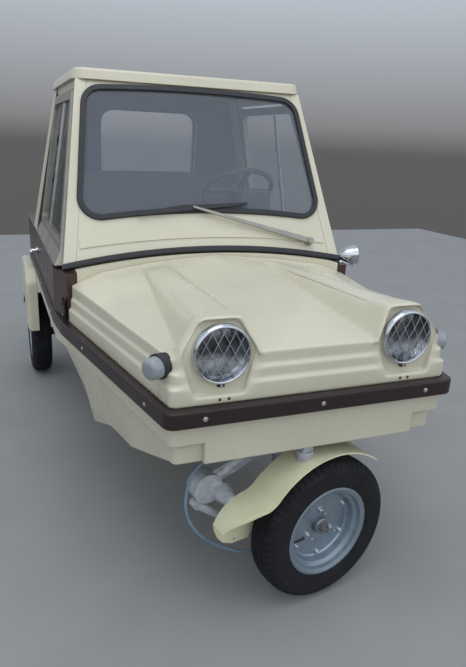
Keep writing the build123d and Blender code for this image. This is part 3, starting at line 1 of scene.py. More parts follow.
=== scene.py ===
"""Looks of the three wheeled car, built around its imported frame. Metres, +Z up, nose toward -Y."""
import json
import math

import bmesh
import bpy
import numpy as np
from mathutils import Matrix, Vector
from mathutils.bvhtree import BVHTree
from mathutils.kdtree import KDTree


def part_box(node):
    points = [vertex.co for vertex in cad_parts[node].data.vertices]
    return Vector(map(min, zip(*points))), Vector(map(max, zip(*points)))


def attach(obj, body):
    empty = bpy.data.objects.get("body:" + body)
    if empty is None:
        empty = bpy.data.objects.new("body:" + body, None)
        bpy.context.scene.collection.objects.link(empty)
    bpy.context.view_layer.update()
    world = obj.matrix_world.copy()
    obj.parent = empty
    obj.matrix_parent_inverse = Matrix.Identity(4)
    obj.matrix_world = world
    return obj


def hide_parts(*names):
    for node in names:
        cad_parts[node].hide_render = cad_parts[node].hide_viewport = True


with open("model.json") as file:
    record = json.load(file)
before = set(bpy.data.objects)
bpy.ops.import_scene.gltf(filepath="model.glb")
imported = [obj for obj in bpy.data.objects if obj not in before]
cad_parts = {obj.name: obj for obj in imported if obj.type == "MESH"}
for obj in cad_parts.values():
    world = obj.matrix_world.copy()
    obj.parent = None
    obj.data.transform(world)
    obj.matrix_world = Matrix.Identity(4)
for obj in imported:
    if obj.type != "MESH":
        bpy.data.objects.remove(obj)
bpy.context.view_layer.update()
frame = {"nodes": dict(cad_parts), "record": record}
nodes = frame["nodes"]

# Photograph: size and focal length in pixels, and where its camera stood
PHOTO_SIZE = (466, 667)
PHOTO_FOCAL = 600.0
CAMERA_AT = Vector((-0.753, -2.442, 1.285))
CAMERA_YAW = -0.384
CAMERA_PITCH = -0.309
CAMERA_ROLL = 0.042
SENSOR = 36.0


def add_object(name, data):
    made = bpy.data.objects.new(name, data)
    bpy.context.scene.collection.objects.link(made)
    return made


def axes(x, y, z):
    """The turn that takes the frame's axes to x, y and z."""
    return Matrix((x, y, z)).transposed().to_4x4()


def add_camera():
    forward = Vector((-math.sin(CAMERA_YAW) * math.cos(CAMERA_PITCH),
                      math.cos(CAMERA_YAW) * math.cos(CAMERA_PITCH), math.sin(CAMERA_PITCH)))
    level = Vector((math.cos(CAMERA_YAW), math.sin(CAMERA_YAW), 0.0))
    upright = level.cross(forward)
    right = level * math.cos(CAMERA_ROLL) + upright * math.sin(CAMERA_ROLL)
    up = upright * math.cos(CAMERA_ROLL) - level * math.sin(CAMERA_ROLL)
    data = bpy.data.cameras.new("camera")
    data.sensor_width = SENSOR
    data.lens = PHOTO_FOCAL / max(PHOTO_SIZE) * SENSOR
    camera = add_object("camera", data)
    camera.matrix_world = Matrix.Translation(CAMERA_AT) @ axes(right, up, -forward)
    bpy.context.scene.camera = camera


class Finish:
    """A procedural material on the principled shader, with short ways to add its nodes."""

    def __init__(self, name, rough=0.5, metallic=0.0, **sockets):
        self.material = bpy.data.materials.new(name)
        self.material.use_nodes = True
        self.tree = self.material.node_tree
        self.shader = self.tree.nodes["Principled BSDF"]
        self.set(Roughness=rough, Metallic=metallic, **sockets)
        self.place = self.tree.nodes.new("ShaderNodeTexCoord").outputs["Object"]

    def set(self, **sockets):
        for socket, value in sockets.items():
            self.shader.inputs[socket.replace("_", " ")].default_value = value

    def wire(self, **sockets):
        for socket, value in sockets.items():
            self.tree.links.new(value, self.shader.inputs[socket.replace("_", " ")])

    def node(self, kind, inputs=(), **settings):
        made = self.tree.nodes.new("ShaderNode" + kind)
        for key, value in settings.items():
            setattr(made, key, value)
        for key, value in dict(inputs).items():
            if isinstance(value, bpy.types.NodeSocket):
                self.tree.links.new(value, made.inputs[key])
            else:
                made.inputs[key].default_value = value
        return made

    def parts(self, vector):
        return self.node("SeparateXYZ", {0: vector}).outputs

    def height(self):
        return self.parts(self.place)["Z"]

    def stretch(self, x, y, z):
        return self.node("Mapping", {"Vector": self.place, "Scale": (x, y, z)}).outputs[0]

    def noise(self, scale, detail=4.0, rough=0.5, at=None):
        inputs = {"Vector": at or self.place, "Scale": scale, "Detail": detail, "Roughness": rough}
        return self.node("TexNoise", inputs).outputs["Fac"]

    def span(self, value, low, high, to_low=0.0, to_high=1.0):
        """Maps value from low..high onto to_low..to_high and clamps it."""
        inputs = {"Value": value, "From Min": low, "From Max": high,
                  "To Min": to_low, "To Max": to_high}
        return self.node("MapRange", inputs).outputs[0]

    def math(self, operation, a, b=0.0):
        return self.node("Math", {0: a, 1: b}, operation=operation).outputs[0]

    def mix(self, factor, a, b):
        made = self.node("Mix", data_type="RGBA")
        for socket, value in ((made.inputs[0], factor), (made.inputs[6], a), (made.inputs[7], b)):
            if isinstance(value, bpy.types.NodeSocket):
                self.tree.links.new(value, socket)
            else:
                socket.default_value = (*value, 1.0)
        return made.outputs[2]

    def bevel(self, radius):
        return self.node("Bevel", {"Radius": radius}, samples=4).outputs[0]

    def bump(self, height, distance, normal=None):
        inputs = {"Height": height, "Distance": distance}
        if normal is not None:
            inputs["Normal"] = normal
        return self.node("Bump", inputs).outputs[0]


def shade(colour, factor):
    return tuple(c * factor for c in colour)


DUST = (0.20, 0.175, 0.135)
DUSTY_Z = (0.70, 0.25)


def shell_finish(name, colour, gloss=0.28, grime=0.35, radius=0.005, coat=0.25, wrap=None):
    """Aged gelcoat or paint: faintly mottled, dusty toward the road, with soft edges."""
    f = Finish(name, Coat_Weight=coat, Coat_Roughness=0.22, Specular_IOR_Level=0.4)
    broad = f.span(f.noise(2.3, 3.0), 0.35, 0.65)
    fine = f.span(f.noise(11.0, 2.0, 0.5), 0.3, 0.7)
    mottled = f.mix(broad, shade(colour, 1.02), shade(colour, 0.95))
    streaks = f.span(f.noise(1.0, 5.0, 0.6, f.stretch(46.0, 46.0, 2.5)), 0.58, 0.80, 0.0, 0.16)
    patches = f.span(f.noise(7.0, 6.0, 0.62), 0.40, 0.72, 0.0, grime)
    dirt = f.math("MULTIPLY", f.span(f.height(), *DUSTY_Z), f.math("ADD", patches, streaks))
    worn = f.span(fine, 0.0, 1.0, gloss - 0.03, gloss + 0.05)
    f.wire(Base_Color=f.mix(dirt, wrap(f, mottled) if wrap else mottled, DUST),
           Roughness=f.math("ADD", worn, f.math("MULTIPLY", dirt, 0.5)))
    if radius:
        f.wire(Normal=f.bevel(radius))
    return f.material


def lined_finish(name, colour, lining):
    """Gelcoat outside, dark lining on the side that faces the cabin's front."""
    f = Finish(name)
    facing_y = f.parts(f.node("NewGeometry").outputs["Normal"])["Y"]
    f.wire(Base_Color=f.mix(f.span(facing_y, -0.25, -0.35), colour, lining),
           Roughness=f.span(f.noise(24.0, 4.0), 0.3, 0.7, 0.35, 0.5))
    return f.material


# Cream lip on the cowl: its half width, lowest z and rearmost y, and how sharply it ends
LIP_HALF = 0.505
LIP_LOW = 0.800
LIP_REAR_Y = -0.330
LIP_EDGE = 0.001


def lipped_finish(name, colour, lip):
    """A shell with a lip in another colour along the front of its top."""

    def wrap(f, body):
        at = f.parts(f.place)
        across = f.span(f.math("ABSOLUTE", at["X"]), LIP_HALF + LIP_EDGE, LIP_HALF)
        above = f.span(at["Z"], LIP_LOW, LIP_LOW + LIP_EDGE)
        before = f.span(at["Y"], LIP_REAR_Y, LIP_REAR_Y - LIP_EDGE)
        return f.mix(f.math("MULTIPLY", across, f.math("MULTIPLY", above, before)), body, lip)

    return shell_finish(name, colour, 0.38, 0.08, coat=0.08, wrap=wrap)


def simple_finish(name, colour, rough, metallic=0.0, radius=0.002, variation=0.15, scale=30.0,
                  bump=0.0002):
    f = Finish(name, rough, metallic)
    spots = f.span(f.noise(scale, 6.0, 0.6), 0.3, 0.7)
    f.wire(Base_Color=f.mix(spots, shade(colour, 1.0 - variation), shade(colour, 1.0 + variation)),
           Roughness=f.span(spots, 0.0, 1.0, rough * 0.8, min(1.0, rough * 1.25)),
           Normal=f.bump(f.noise(scale * 8.0, 4.0), bump, f.bevel(radius)))
    return f.material


def clear_finish(name, tint, see):
    """Thin clear sheet: mostly see-through, with a glossy, smeared skin."""
    f = Finish(name, Base_Color=(*tint, 1.0), Alpha=1.0 - see, Specular_IOR_Level=1.0)
    f.wire(Roughness=f.span(f.noise(9.0, 5.0), 0.35, 0.75, 0.02, 0.14))
    return f.material


# Headlamps: centre, and what the painted reflection on their glass shows, from the top of the glass
# to its foot
LAMP_X = 0.267
LAMP_Z = 0.799
SKY_SHOWN = (LAMP_Z + 0.004, LAMP_Z - 0.018)
FOOT_SHOWN = (LAMP_Z - 0.066, LAMP_Z - 0.038)
# Colours of the painted reflection on the lamp glass: the dark ground, then the bright sky
PAINTED_GROUND_TONES = ((0.030, 0.030, 0.040), (0.17, 0.18, 0.20))
PAINTED_SKY_TONES = ((0.40, 0.42, 0.44), (0.72, 0.75, 0.77))


def lamp_glass_finish(name):
    """Glass over a bright reflector, with a painted reflection in its colour: the dark ground above
    its middle, the sky below.
    """
    f = Finish(name, metallic=0.9, Coat_Weight=1.0, Coat_Roughness=0.03)
    warp = f.math("MULTIPLY", f.math("SUBTRACT", f.noise(14.0, 3.0), 0.5), 0.075)
    level = f.math("ADD", f.height(), warp)
    # Painted reflection: by height on the glass, how much shows the sky rather than the ground
    lit = f.math("MULTIPLY", f.span(level, *SKY_SHOWN), f.span(level, *FOOT_SHOWN))
    blotch = f.span(f.noise(30.0, 4.0), 0.35, 0.65)
    flutes = f.node("TexWave", {"Vector": f.place, "Scale": 55.0, "Distortion": 0.2},
                    bands_direction="X").outputs["Fac"]
    f.wire(Base_Color=f.mix(lit, f.mix(blotch, *PAINTED_GROUND_TONES), f.mix(blotch, *PAINTED_SKY_TONES)),
           Roughness=f.span(blotch, 0.0, 1.0, 0.08, 0.25), Normal=f.bump(flutes, 0.00012))
    return f.material


CREAM = (0.66, 0.615, 0.465)
# Fender's own yellower cream, made brighter than its paint to stand in for light its shaded place
# under the hull lacks: part paint, part painted light
FENDER_CREAM_AND_LIGHT = (0.86, 0.82, 0.53)
BROWN = (0.060, 0.030, 0.026)
LINING = (0.050, 0.048, 0.050)
# Each finish: how it is made, then that function's values after the name
FINISH_TABLE = {
    "cream_shell": (shell_finish, CREAM),
    "lipped_shell": (lipped_finish, BROWN, CREAM),
    "dark_cast": (simple_finish, (0.20, 0.20, 0.21), 0.6, 0.35, 0.002, 0.25, 40.0, 0.0006),
    "smooth_shell": (shell_finish, CREAM, 0.28, 0.35, 0.0),
    "brown_shell": (shell_finish, BROWN, 0.38, 0.08, 0.005, 0.08),
    "brown_trim": (shell_finish, (0.024, 0.012, 0.011), 0.42, 0.06, 0.006, 0.1),
    "fender_cream": (shell_finish, FENDER_CREAM_AND_LIGHT, 0.33, 0.25, 0.0),
    "dark_paint": (simple_finish, (0.018, 0.018, 0.020), 0.6),
    "silver_paint": (simple_finish, (0.30, 0.36, 0.41), 0.34, 0.75, 0.002, 0.08),
    "hub_steel": (simple_finish, (0.30, 0.31, 0.32), 0.38, 0.9, 0.0015),
    "cast_metal": (simple_finish, (0.50, 0.51, 0.53), 0.55, 0.25, 0.002, 0.25, 40.0, 0.0006),
    "bright_metal": (simple_finish, (0.62, 0.63, 0.66), 0.12, 1.0, 0.002, 0.05),
    "cable_sheath": (simple_finish, (0.20, 0.28, 0.36), 0.45, 0.0, 0.001),
    "lamp_glass": (lamp_glass_finish,),
    "wire_metal": (simple_finish, (0.55, 0.56, 0.58), 0.3, 1.0, 0.0005, 0.1),
    "screw_metal": (simple_finish, (0.52, 0.47, 0.38), 0.35, 0.9, 0.0005, 0.2, 60.0),
    "dark_screw": (simple_finish, (0.055, 0.040, 0.030), 0.6, 0.3, 0.0005, 0.3, 60.0),
    "frame_metal": (simple_finish, (0.33, 0.315, 0.27), 0.45, 0.5, 0.002, 0.15, 20.0),
    "lined_shell": (lined_finish, CREAM, LINING),
    "dull_metal": (simple_finish, (0.50, 0.51, 0.50), 0.42, 0.85, 0.001, 0.12),
    "black_rubber": (simple_finish, (0.022, 0.022, 0.024), 0.55, 0.0, 0.004),
    "tyre_rubber": (simple_finish, (0.005, 0.005, 0.006), 0.85, 0.0, 0.002, 0.3, 20.0),
    "black_plastic": (simple_finish, (0.020, 0.020, 0.022), 0.5, 0.0, 0.002),
    "clear_glass": (clear_finish, (0.42, 0.46, 0.54), 0.86),
    "clear_plastic": (clear_finish, (0.34, 0.34, 0.33), 0.76),
    "clear_lens": (simple_finish, (0.30, 0.31, 0.33), 0.12),
    "red_lens": (simple_finish, (0.30, 0.012, 0.010), 0.18),
    "seat_vinyl": (simple_finish, (0.060, 0.045, 0.036), 0.5, 0.0, 0.006, 0.2, 60.0),
}
FINISHES = {name: make(name, *values) for name, (make, *values) in FINISH_TABLE.items()}
# Nodes that look unlike their slot's finish
OTHER_FINISHES = {
    "door_frame_left": "frame_metal", "door_frame_right": "frame_metal", "wiper": "frame_metal",
    "rear_wall": "lined_shell", "cab_front": "smooth_shell", "cowl": "lipped_shell",
    "engine_block": "dark_cast", "steering_stem": "cast_metal",
}


def finish_nodes():
    for part in frame["record"]["subparts"]:
        materials = nodes[part["node"]].data.materials
        materials.clear()
        materials.append(FINISHES[OTHER_FINISHES.get(part["node"], part["material_slot"])])


def settle(piece, body, replaces=()):
    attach(piece, body)
    if replaces:
        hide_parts(*replaces)


def facing(origin, direction):
    """A place whose Z axis points along direction."""
    z = Vector(direction).normalized()
    x = Vector((0, 0, 1)).cross(z).normalized()
    return Matrix.Translation(origin) @ axes(x, z.cross(x), z)


def turns(count):
    return [2 * math.pi * k / count for k in range(count)]


def circle(radius, height, count):
    return [(radius * math.cos(a), radius * math.sin(a), height) for a in turns(count)]


class Shape:
    """Vertices and faces gathered into one mesh piece."""

    def __init__(self):
        self.verts = []
        self.faces = []

    def add(self, verts, faces, place=None):
        base = len(self.verts)
        self.verts += [tuple(place @ Vector(v)) if place else tuple(v) for v in verts]
        self.faces += [tuple(base + i for i in face) for face in faces]
        return self

    def skin(self, rings, place=None, joined=False):
        """Joins closed rings of points in turn; the ends are filled, or joined to each other."""
        size, count = len(rings[0]), len(rings)
        faces = []
        for k in range(count if joined else count - 1):
            a, b = k * size, (k + 1) % count * size
            faces += [(a + i, a + (i + 1) % size, b + (i + 1) % size, b + i) for i in range(size)]
        if not joined:
            faces += [range(size), range((count - 1) * size, count * size)]
        return self.add([point for ring in rings for point in ring], faces, place)

    def lathe(self, profile, place, count=48):
        """Turns (radius, height) points round the place's Z axis."""
        return self.skin([circle(radius, height, count) for radius, height in profile], place)

    def tube(self, points, radius, sides=8):
        points = [Vector(p) for p in points]
        side, rings = None, []
        for i, point in enumerate(points):
            run = (points[min(i + 1, len(points) - 1)] - points[max(i - 1, 0)]).normalized()
            side = run.orthogonal() if side is None else side - run * side.dot(run)
            side.normalize()
            other = run.cross(side)
            rings.append([point + (side * math.cos(a) + other * math.sin(a)) * radius
                          for a in turns(sides)])
        return self.skin(rings)

    def block(self, low, high, place=None):
        rings = [[(x, low[1], low[2]), (x, high[1], low[2]), (x, high[1], high[2]),
                  (x, low[1], high[2])] for x in (low[0], high[0])]
        return self.skin(rings, place)

    def piece(self, name, slot, body, replaces=(), bevel=0.0, angle=40.0, finish=None):
        mesh = bpy.data.meshes.new(name)
        mesh.from_pydata(self.verts, [], self.faces)
        form = bmesh.new()
        form.from_mesh(mesh)
        bmesh.ops.recalc_face_normals(form, faces=form.faces)
        form.to_mesh(mesh)
        form.free()
        mesh.shade_smooth()
        mesh.set_sharp_from_angle(angle=math.radians(angle))
        mesh.materials.append(FINISHES[finish or slot])
        piece = add_object(name, mesh)
        if bevel:
            edge = piece.modifiers.new("edge", "BEVEL")
            edge.width = bevel
            edge.segments = 3
            edge.limit_method = "ANGLE"
        settle(piece, body, replaces)


# Steering axis and its turn at rest, and the wheels' places, as the CAD has them
STEER_Y = -1.145
TRAIL = 0.075
REST = Matrix.Rotation(math.radians(-80.0), 4, "Z")
TYRE_R = 0.221
AXLE_Y = 0.954
TRACK_HALF = 0.561


def at_rest(point):
    """A point of the steered parts, given straight ahead, moved to where it is at rest."""
    return Vector((0, STEER_Y, 0)) + REST @ (Vector(point) - Vector((0, STEER_Y, 0)))


# Each wheel's centre, the way that it faces, and its body
WHEELS = {
    "front": (at_rest((0, STEER_Y + TRAIL, TYRE_R)), REST @ Vector((1, 0, 0)), "front_wheel"),
    "rear_left": (Vector((TRACK_HALF, AXLE_Y, TYRE_R)), Vector((1, 0, 0)), "rear_wheel_left"),
    "rear_right": (Vector((-TRACK_HALF, AXLE_Y, TYRE_R)), Vector((-1, 0, 0)), "rear_wheel_right"),
}

# Brake cable's points, as the CAD has them: across the car, ahead of the steering axis, height
CABLE_POINTS = ((-0.100, 0.045, 0.480), (-0.100, 0.110, 0.474), (-0.101, 0.180, 0.477),
                (-0.101, 0.245, 0.474), (-0.100, 0.295, 0.446), (-0.100, 0.316, 0.385),
                (-0.100, 0.316, 0.322), (-0.100, 0.292, 0.262), (-0.099, 0.251, 0.213),
                (-0.096, 0.200, 0.174), (-0.092, 0.146, 0.140), (-0.088, 0.096, 0.127),
                (-0.081, 0.045, 0.138), (-0.072, 0.002, 0.166))
CABLE_R = 0.004


def add_brake_cable():
    route = [at_rest((x, STEER_Y - ahead, z)) for x, ahead, z in CABLE_POINTS]
    curve = bpy.data.curves.new("brake_cable_curve", "CURVE")
    curve.dimensions = "3D"
    curve.bevel_depth = CABLE_R
    curve.bevel_resolution = 4
    curve.use_fill_caps = True
    spline = curve.splines.new("NURBS")
    spline.points.add(len(route) - 1)
    for point, spot in zip(spline.points, route):
        point.co = (*spot, 1.0)
    spline.order_u = 3
    spline.use_endpoint_u = True
    spline.resolution_u = 8
    curve.materials.append(FINISHES["cable_sheath"])
    cable = add_object("brake_cable_sheath", curve)
    settle(cable, "steering", ["brake_cable"])


# Hood: the CAD's skin, with its moulded edges rounded and its lamp nacelles drawn out of the top
NOSE_Y = -1.192
VOXEL = 0.0043
LIP = 0.014
LINER_IN = 0.005
WELD = 2e-5
# Looks from each face for the open air: how many, their turn, their start and the least free ones
LOOKS = 60
LOOK_TURN = 2.4
LOOK_FROM = 2e-4
LEAST_FREE = 2
SEAL_HALF = 9
LAMP_ZONE = (0.150, -0.98)


def ease(value, low, high):
    t = np.clip((value - low) / (high - low), 0, 1)
    return t * t * (3 - 2 * t)


def near_lamp(spot):
    return abs(abs(spot.x) - LAMP_X) < LAMP_ZONE[0] and spot.y < LAMP_ZONE[1]


def look_ways():
    ways = []
    for k in range(LOOKS):
        z = 1 - (2 * k + 1) / LOOKS
        flat = math.sqrt(1 - z * z)
        ways.append(Vector((math.cos(k * LOOK_TURN) * flat, math.sin(k * LOOK_TURN) * flat, z)))
    return ways


def hidden_faces(form, low):
    """Faces that see no open air once the form's foot is sealed at the height low."""
    sealed = form.copy()
    corners = ((-SEAL_HALF, -SEAL_HALF), (SEAL_HALF, -SEAL_HALF), (SEAL_HALF, SEAL_HALF),
               (-SEAL_HALF, SEAL_HALF))
    sealed.faces.new([sealed.verts.new((x, y, low)) for x, y in corners])
    tree = BVHTree.FromBMesh(sealed)
    sealed.free()
    ways, hidden = look_ways(), []
    for face in form.faces:
        start = face.calc_center_median() + face.normal * LOOK_FROM
        free = [way for way in ways
                if way.dot(face.normal) > 0.05 and tree.ray_cast(start, way)[0] is None]
        if len(free) < LEAST_FREE:
            hidden.append(face)
    return hidden


def liner_mesh(form, hidden, box):
    """The shell's inner side, set a little further in, without the lamps' pockets."""
    inner = form.copy()
    inner.faces.ensure_lookup_table()
    kept = {face.index for face in hidden}
    spare = [face for face in inner.faces
             if face.index not in kept or near_lamp(face.calc_center_median())]
    bmesh.ops.delete(inner, geom=spare, context="FACES")
    bmesh.ops.recalc_face_normals(inner, faces=inner.faces)
    inner.normal_update()
    toward = Vector((0, (box[0].y + box[1].y) / 2, box[0].z))
    facing_in = sum(face.normal.dot(toward - face.calc_center_median()) * face.calc_area()
                    for face in inner.faces)
    for vert in inner.verts:
        vert.co += vert.normal * math.copysign(LINER_IN, facing_in)
    liner = bpy.data.meshes.new("hood_liner")
    inner.to_mesh(liner)
    inner.free()
    return liner


def hood_meshes(voxel):
    """An even mesh of the volume that the CAD's hood, open below, encloses, and its liner."""
    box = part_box("hood")
    form = bmesh.new()
    form.from_mesh(nodes["hood"].data)
    bmesh.ops.remove_doubles(form, verts=form.verts, dist=WELD)
    hidden = hidden_faces(form, box[0].z)
    liner = liner_mesh(form, hidden, box)
    bmesh.ops.delete(form, geom=hidden, context="FACES")
    bmesh.ops.holes_fill(form, edges=[e for e in form.edges if e.is_boundary], sides=0)
    bmesh.ops.triangulate(form, faces=form.faces)
    mesh = bpy.data.meshes.new("hood_closed")
    form.to_mesh(mesh)
    form.free()
    piece = add_object("hood_skin", mesh)
    remesh = piece.modifiers.new("remesh", "REMESH")
    remesh.mode = "VOXEL"
    remesh.voxel_size = voxel
    graph = bpy.context.evaluated_depsgraph_get()
    even = bpy.data.meshes.new_from_object(piece.evaluated_get(graph))
    bpy.data.objects.remove(piece)
    return even, liner


def relax(mesh, passes):
    """Moves vertices toward their neighbours' mean by each pass's share of the way."""
    points = np.empty(len(mesh.vertices) * 3)
    mesh.vertices.foreach_get("co", points)
    points = points.reshape(-1, 3)
    edges = np.empty(len(mesh.edges) * 2, np.int32)
    mesh.edges.foreach_get("vertices", edges)
    a, b = edges.reshape(-1, 2).T
    size = len(points)
    count = np.bincount(edges, minlength=size)
    for weight in passes(points):
        total = np.stack([np.bincount(a, points[b, k], size) + np.bincount(b, points[a, k], size)
                          for k in range(3)], 1)
        points += (total / count[:, None] - points) * weight[:, None]
    mesh.vertices.foreach_set("co", points.ravel())
    mesh.update()


# Opening round the lamp, across and above the lamp's centre
HEXAGON = ((-0.059, -0.099), (-0.091, 0.004), (-0.047, 0.080), (0.059, 0.080), (0.103, 0.004),
           (0.071, -0.099))
# Dish behind the lamp: its floor, its rear limit, its margin and how much of its depth is kept
DISH_Y = -1.1755
DISH_REAR_Y = -1.10
DISH_MARGIN = 0.004
DISH_SHARE = 0.12
# Top of the opening's frame: how far it leans, and where that fades in y, z and across
LEAN_BACK = 0.024
LEAN_IN = 0.010
LEAN_Y = (-1.165, -1.02)
LEAN_Z = (LAMP_Z, LAMP_Z + 0.086)
LEAN_ACROSS = (0.01, 0.05)
# Nacelles: where their smoothing fades behind the nose, above the edge, at the side and at the cowl
NACELLE_BEHIND = (NOSE_Y + 0.030, NOSE_Y + 0.150)
NACELLE_EDGE_Z = (0.788, 0.812)
NACELLE_RISE = 0.09
NACELLE_SIDE = (0.37, 0.42)
NACELLE_SPREAD = 0.19
NACELLE_REAR_Y = (-0.44, -0.405)
NACELLE_PASSES = 130
NACELLE_WEIGHT = 0.85
# Opening's moulded edge: how wide it is, and where its smoothing fades in y and z
FRAME_BAND = (0.012, 0.030)
FRAME_Y = (-1.13, -1.09)
FRAME_Z = (0.69, 0.71)
FRAME_PASSES = 18
FRAME_WEIGHT = 0.6
FIRST_WEIGHT = 0.5


def inside_opening(points):
    """How far points lie inside the lamp opening's outline, negative outside it."""
    across, up = np.abs(points[:, 0]) - LAMP_X, points[:, 2] - LAMP_Z
    depths = []
    for (x0, z0), (x1, z1) in zip(HEXAGON, HEXAGON[1:] + HEXAGON[:1]):
        reach = (up - z0) * (x0 - x1) + (across - x0) * (z1 - z0)
        depths.append(reach / math.hypot(x1 - x0, z1 - z0))
    return np.min(depths, 0)


def hood_passes(points):
    """Draws the dishes forward, leans their frames back, and gives the smoothing passes."""
    depth = inside_opening(points)
    dish = (depth > -DISH_MARGIN) & (points[:, 1] > DISH_Y) & (points[:, 1] < DISH_REAR_Y)
    points[dish, 1] = DISH_Y + (points[dish, 1] - DISH_Y) * DISH_SHARE
    across, along, up = np.abs(points[:, 0]), points[:, 1], points[:, 2]
    top = ease(up, *LEAN_Z) * (1 - ease(along, *LEAN_Y))
    outer = ease(across - LAMP_X, *LEAN_ACROSS)
    points[:, 1] += LEAN_BACK * top
    points[:, 0] -= np.sign(points[:, 0]) * LEAN_IN * top * outer
    behind_nose = along - NOSE_Y
    nacelle = (ease(along, *NACELLE_BEHIND)
               * ease(up - NACELLE_RISE * behind_nose, *NACELLE_EDGE_Z)
               * (1 - ease(across - NACELLE_SPREAD * behind_nose, *NACELLE_SIDE))
               * (1 - ease(along, *NACELLE_REAR_Y)))
    frame_edge = ((1 - ease(np.abs(depth), *FRAME_BAND)) * (1 - ease(along, *FRAME_Y))
                  * ease(up, *FRAME_Z))
    return ([np.full(len(points), FIRST_WEIGHT)] + [FRAME_WEIGHT * frame_edge] * FRAME_PASSES
            + [NACELLE_WEIGHT * nacelle] * NACELLE_PASSES)


def open_below(mesh, low):
    """Takes away the closed volume's underside, but for a lip along its wall."""
    form = bmesh.new()
    form.from_mesh(mesh)
    wall = [v.co for v in form.verts if low + 0.006 < v.co.z < low + 0.016]
    ring = KDTree(len(wall))
    for k, spot in enumerate(wall):
        ring.insert((spot.x, spot.y, 0), k)
    ring.balance()
    under = [f for f in form.faces if f.normal.z < -0.75 and f.calc_center_median().z < low + 0.004]
    inside = [f for f in under if ring.find((*f.calc_center_median().xy, 0))[2] > LIP]
    bmesh.ops.delete(form, geom=inside, context="FACES")
    form.to_mesh(mesh)
    form.free()


def add_hood():
    mesh, liner = hood_meshes(VOXEL)
    relax(mesh, hood_passes)
    open_below(mesh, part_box("hood")[0].z)
    for name, data in (("hood_shell", mesh), ("hood_liner", liner)):
        data.shade_smooth()
        data.materials.clear()
        data.materials.append(FINISHES["smooth_shell"])
        settle(add_object(name, data), "hood", ["hood"])


# Headlamps: chromed bowls, domed glass with fine flutes, a clamp and a guard of crossed wires.
# Profiles are (radius, height) points.
LAMP_BACK_Y = -1.120
BOWL_PROFILE = ((0.030, 0.0005), (0.030, 0.014), (0.044, 0.022), (0.058, 0.034), (0.067, 0.044),
                (0.073, 0.0465), (0.0765, 0.0485), (0.0765, 0.0575), (0.0755, 0.0625),
                (0.0730, 0.0660), (0.0705, 0.0675), (0.0685, 0.0665), (0.0675, 0.0640),
                (0.0675, 0.0505))
LAMP_SCREW = ((0.0030, 0.056), (0.0030, 0.060), (0.0015, 0.061))
LAMP_SCREW_DOWN = 0.080
CLAMP_LOW = (-0.009, -0.085, 0.044)
CLAMP_HIGH = (0.009, -0.074, 0.058)
GLASS_R = 0.0672
GLASS_FOOT = 0.052
GLASS_RISE = 0.009
GLASS_STEPS = 10
GUARD_R = 0.069
GUARD_FOOT = 0.0640
GUARD_RISE = 0.0028
WIRE_R = 0.0011
WIRE_PITCH = 0.0262
WIRE_TILT = math.radians(62.0)
WIRE_STEPS = 8


def guard_wire(place, lean, off):
    """A wire at the distance off from the lamp's middle, bowed over the glass."""
    half = math.sqrt(GUARD_R ** 2 - off ** 2)
    c, s = math.cos(lean * WIRE_TILT), math.sin(lean * WIRE_TILT)
    path = []
    for k in range(WIRE_STEPS + 1):
        t = half * (2 * k / WIRE_STEPS - 1)
        x, y = t * c - off * s, t * s + off * c
        rise = GUARD_RISE * (1 - (x * x + y * y) / GUARD_R ** 2)
        path.append(place @ Vector((x, y, GUARD_FOOT + rise)))
    return path


def add_headlamps():
    bowls, glasses, guards, clamps = Shape(), Shape(), Shape(), Shape()
    shares = [k / GLASS_STEPS for k in range(GLASS_STEPS, 0, -1)]
    dome = [(GLASS_R * share, GLASS_FOOT + GLASS_RISE * (1 - share ** 2)) for share in shares]
    for side in (-1, 1):
        place = facing((side * LAMP_X, LAMP_BACK_Y, LAMP_Z), (0, -1, 0))
        bowls.lathe(BOWL_PROFILE, place, 72)
        bowls.lathe(LAMP_SCREW, place @ Matrix.Translation((0, -LAMP_SCREW_DOWN, 0)), 12)
        clamps.block(CLAMP_LOW, CLAMP_HIGH, place)
        glasses.lathe([(GLASS_R, GLASS_FOOT - 0.001), *dome], place, 72)
        for lean in (-1, 1):
            for line in range(-2, 3):
                guards.tube(guard_wire(place, lean, line * WIRE_PITCH), WIRE_R, 6)
    bowls.piece("headlamp_shells", "bright_metal", "hood", ["headlamps"], angle=35)
    glasses.piece("headlamp_glasses", "clear_glass", "hood", ["headlamp_lenses"],
                  finish="lamp_glass")
    clamps.piece("headlamp_clamps", "black_rubber", "hood", bevel=0.001)
    guards.piece("headlamp_guards", "bright_metal", "hood", finish="wire_metal")


# Indicators: a ribbed clear lens on a rubber foot that turns it toward the front.
# They are drawn for the right side; INDICATOR_DEPTHS says how deep each side's foot sits.
INDICATOR_AT = Vector((-0.4095, -1.1370, 0.769))
INDICATOR_SIDE = Vector((-0.9836, -0.1805, 0))
INDICATOR_FACE = Vector((-0.85, -0.52, -0.06))
INDICATOR_DEPTHS = {-1: 0.018, 1: 0.040}
FOOT_R = 0.0312
# Foot's rings: how far out of the body, how far along the lens's axis, which way, what scale
FOOT_RINGS = ((0.0, 0.0, INDICATOR_SIDE, 0.98), (0.012, 0.0, INDICATOR_SIDE, 1.0),
              (0.020, 0.006, INDICATOR_FACE, 1.04), (0.020, 0.010, INDICATOR_FACE, 1.0),
              (0.020, 0.010, INDICATOR_FACE, 0.86))
FOOT_SIDES = 48
LENS_AT = (0.020, 0.0095)
LENS_R = 0.0280
LENS_PROFILE = ((1.0, 0.0), (0.985, 0.010), (0.95, 0.019), (0.86, 0.0255), (0.66, 0.0292),
                (0.36, 0.0310), (0.04, 0.0315))
LENS_FLUTES = 24
FLUTE_DEPTH = 0.012


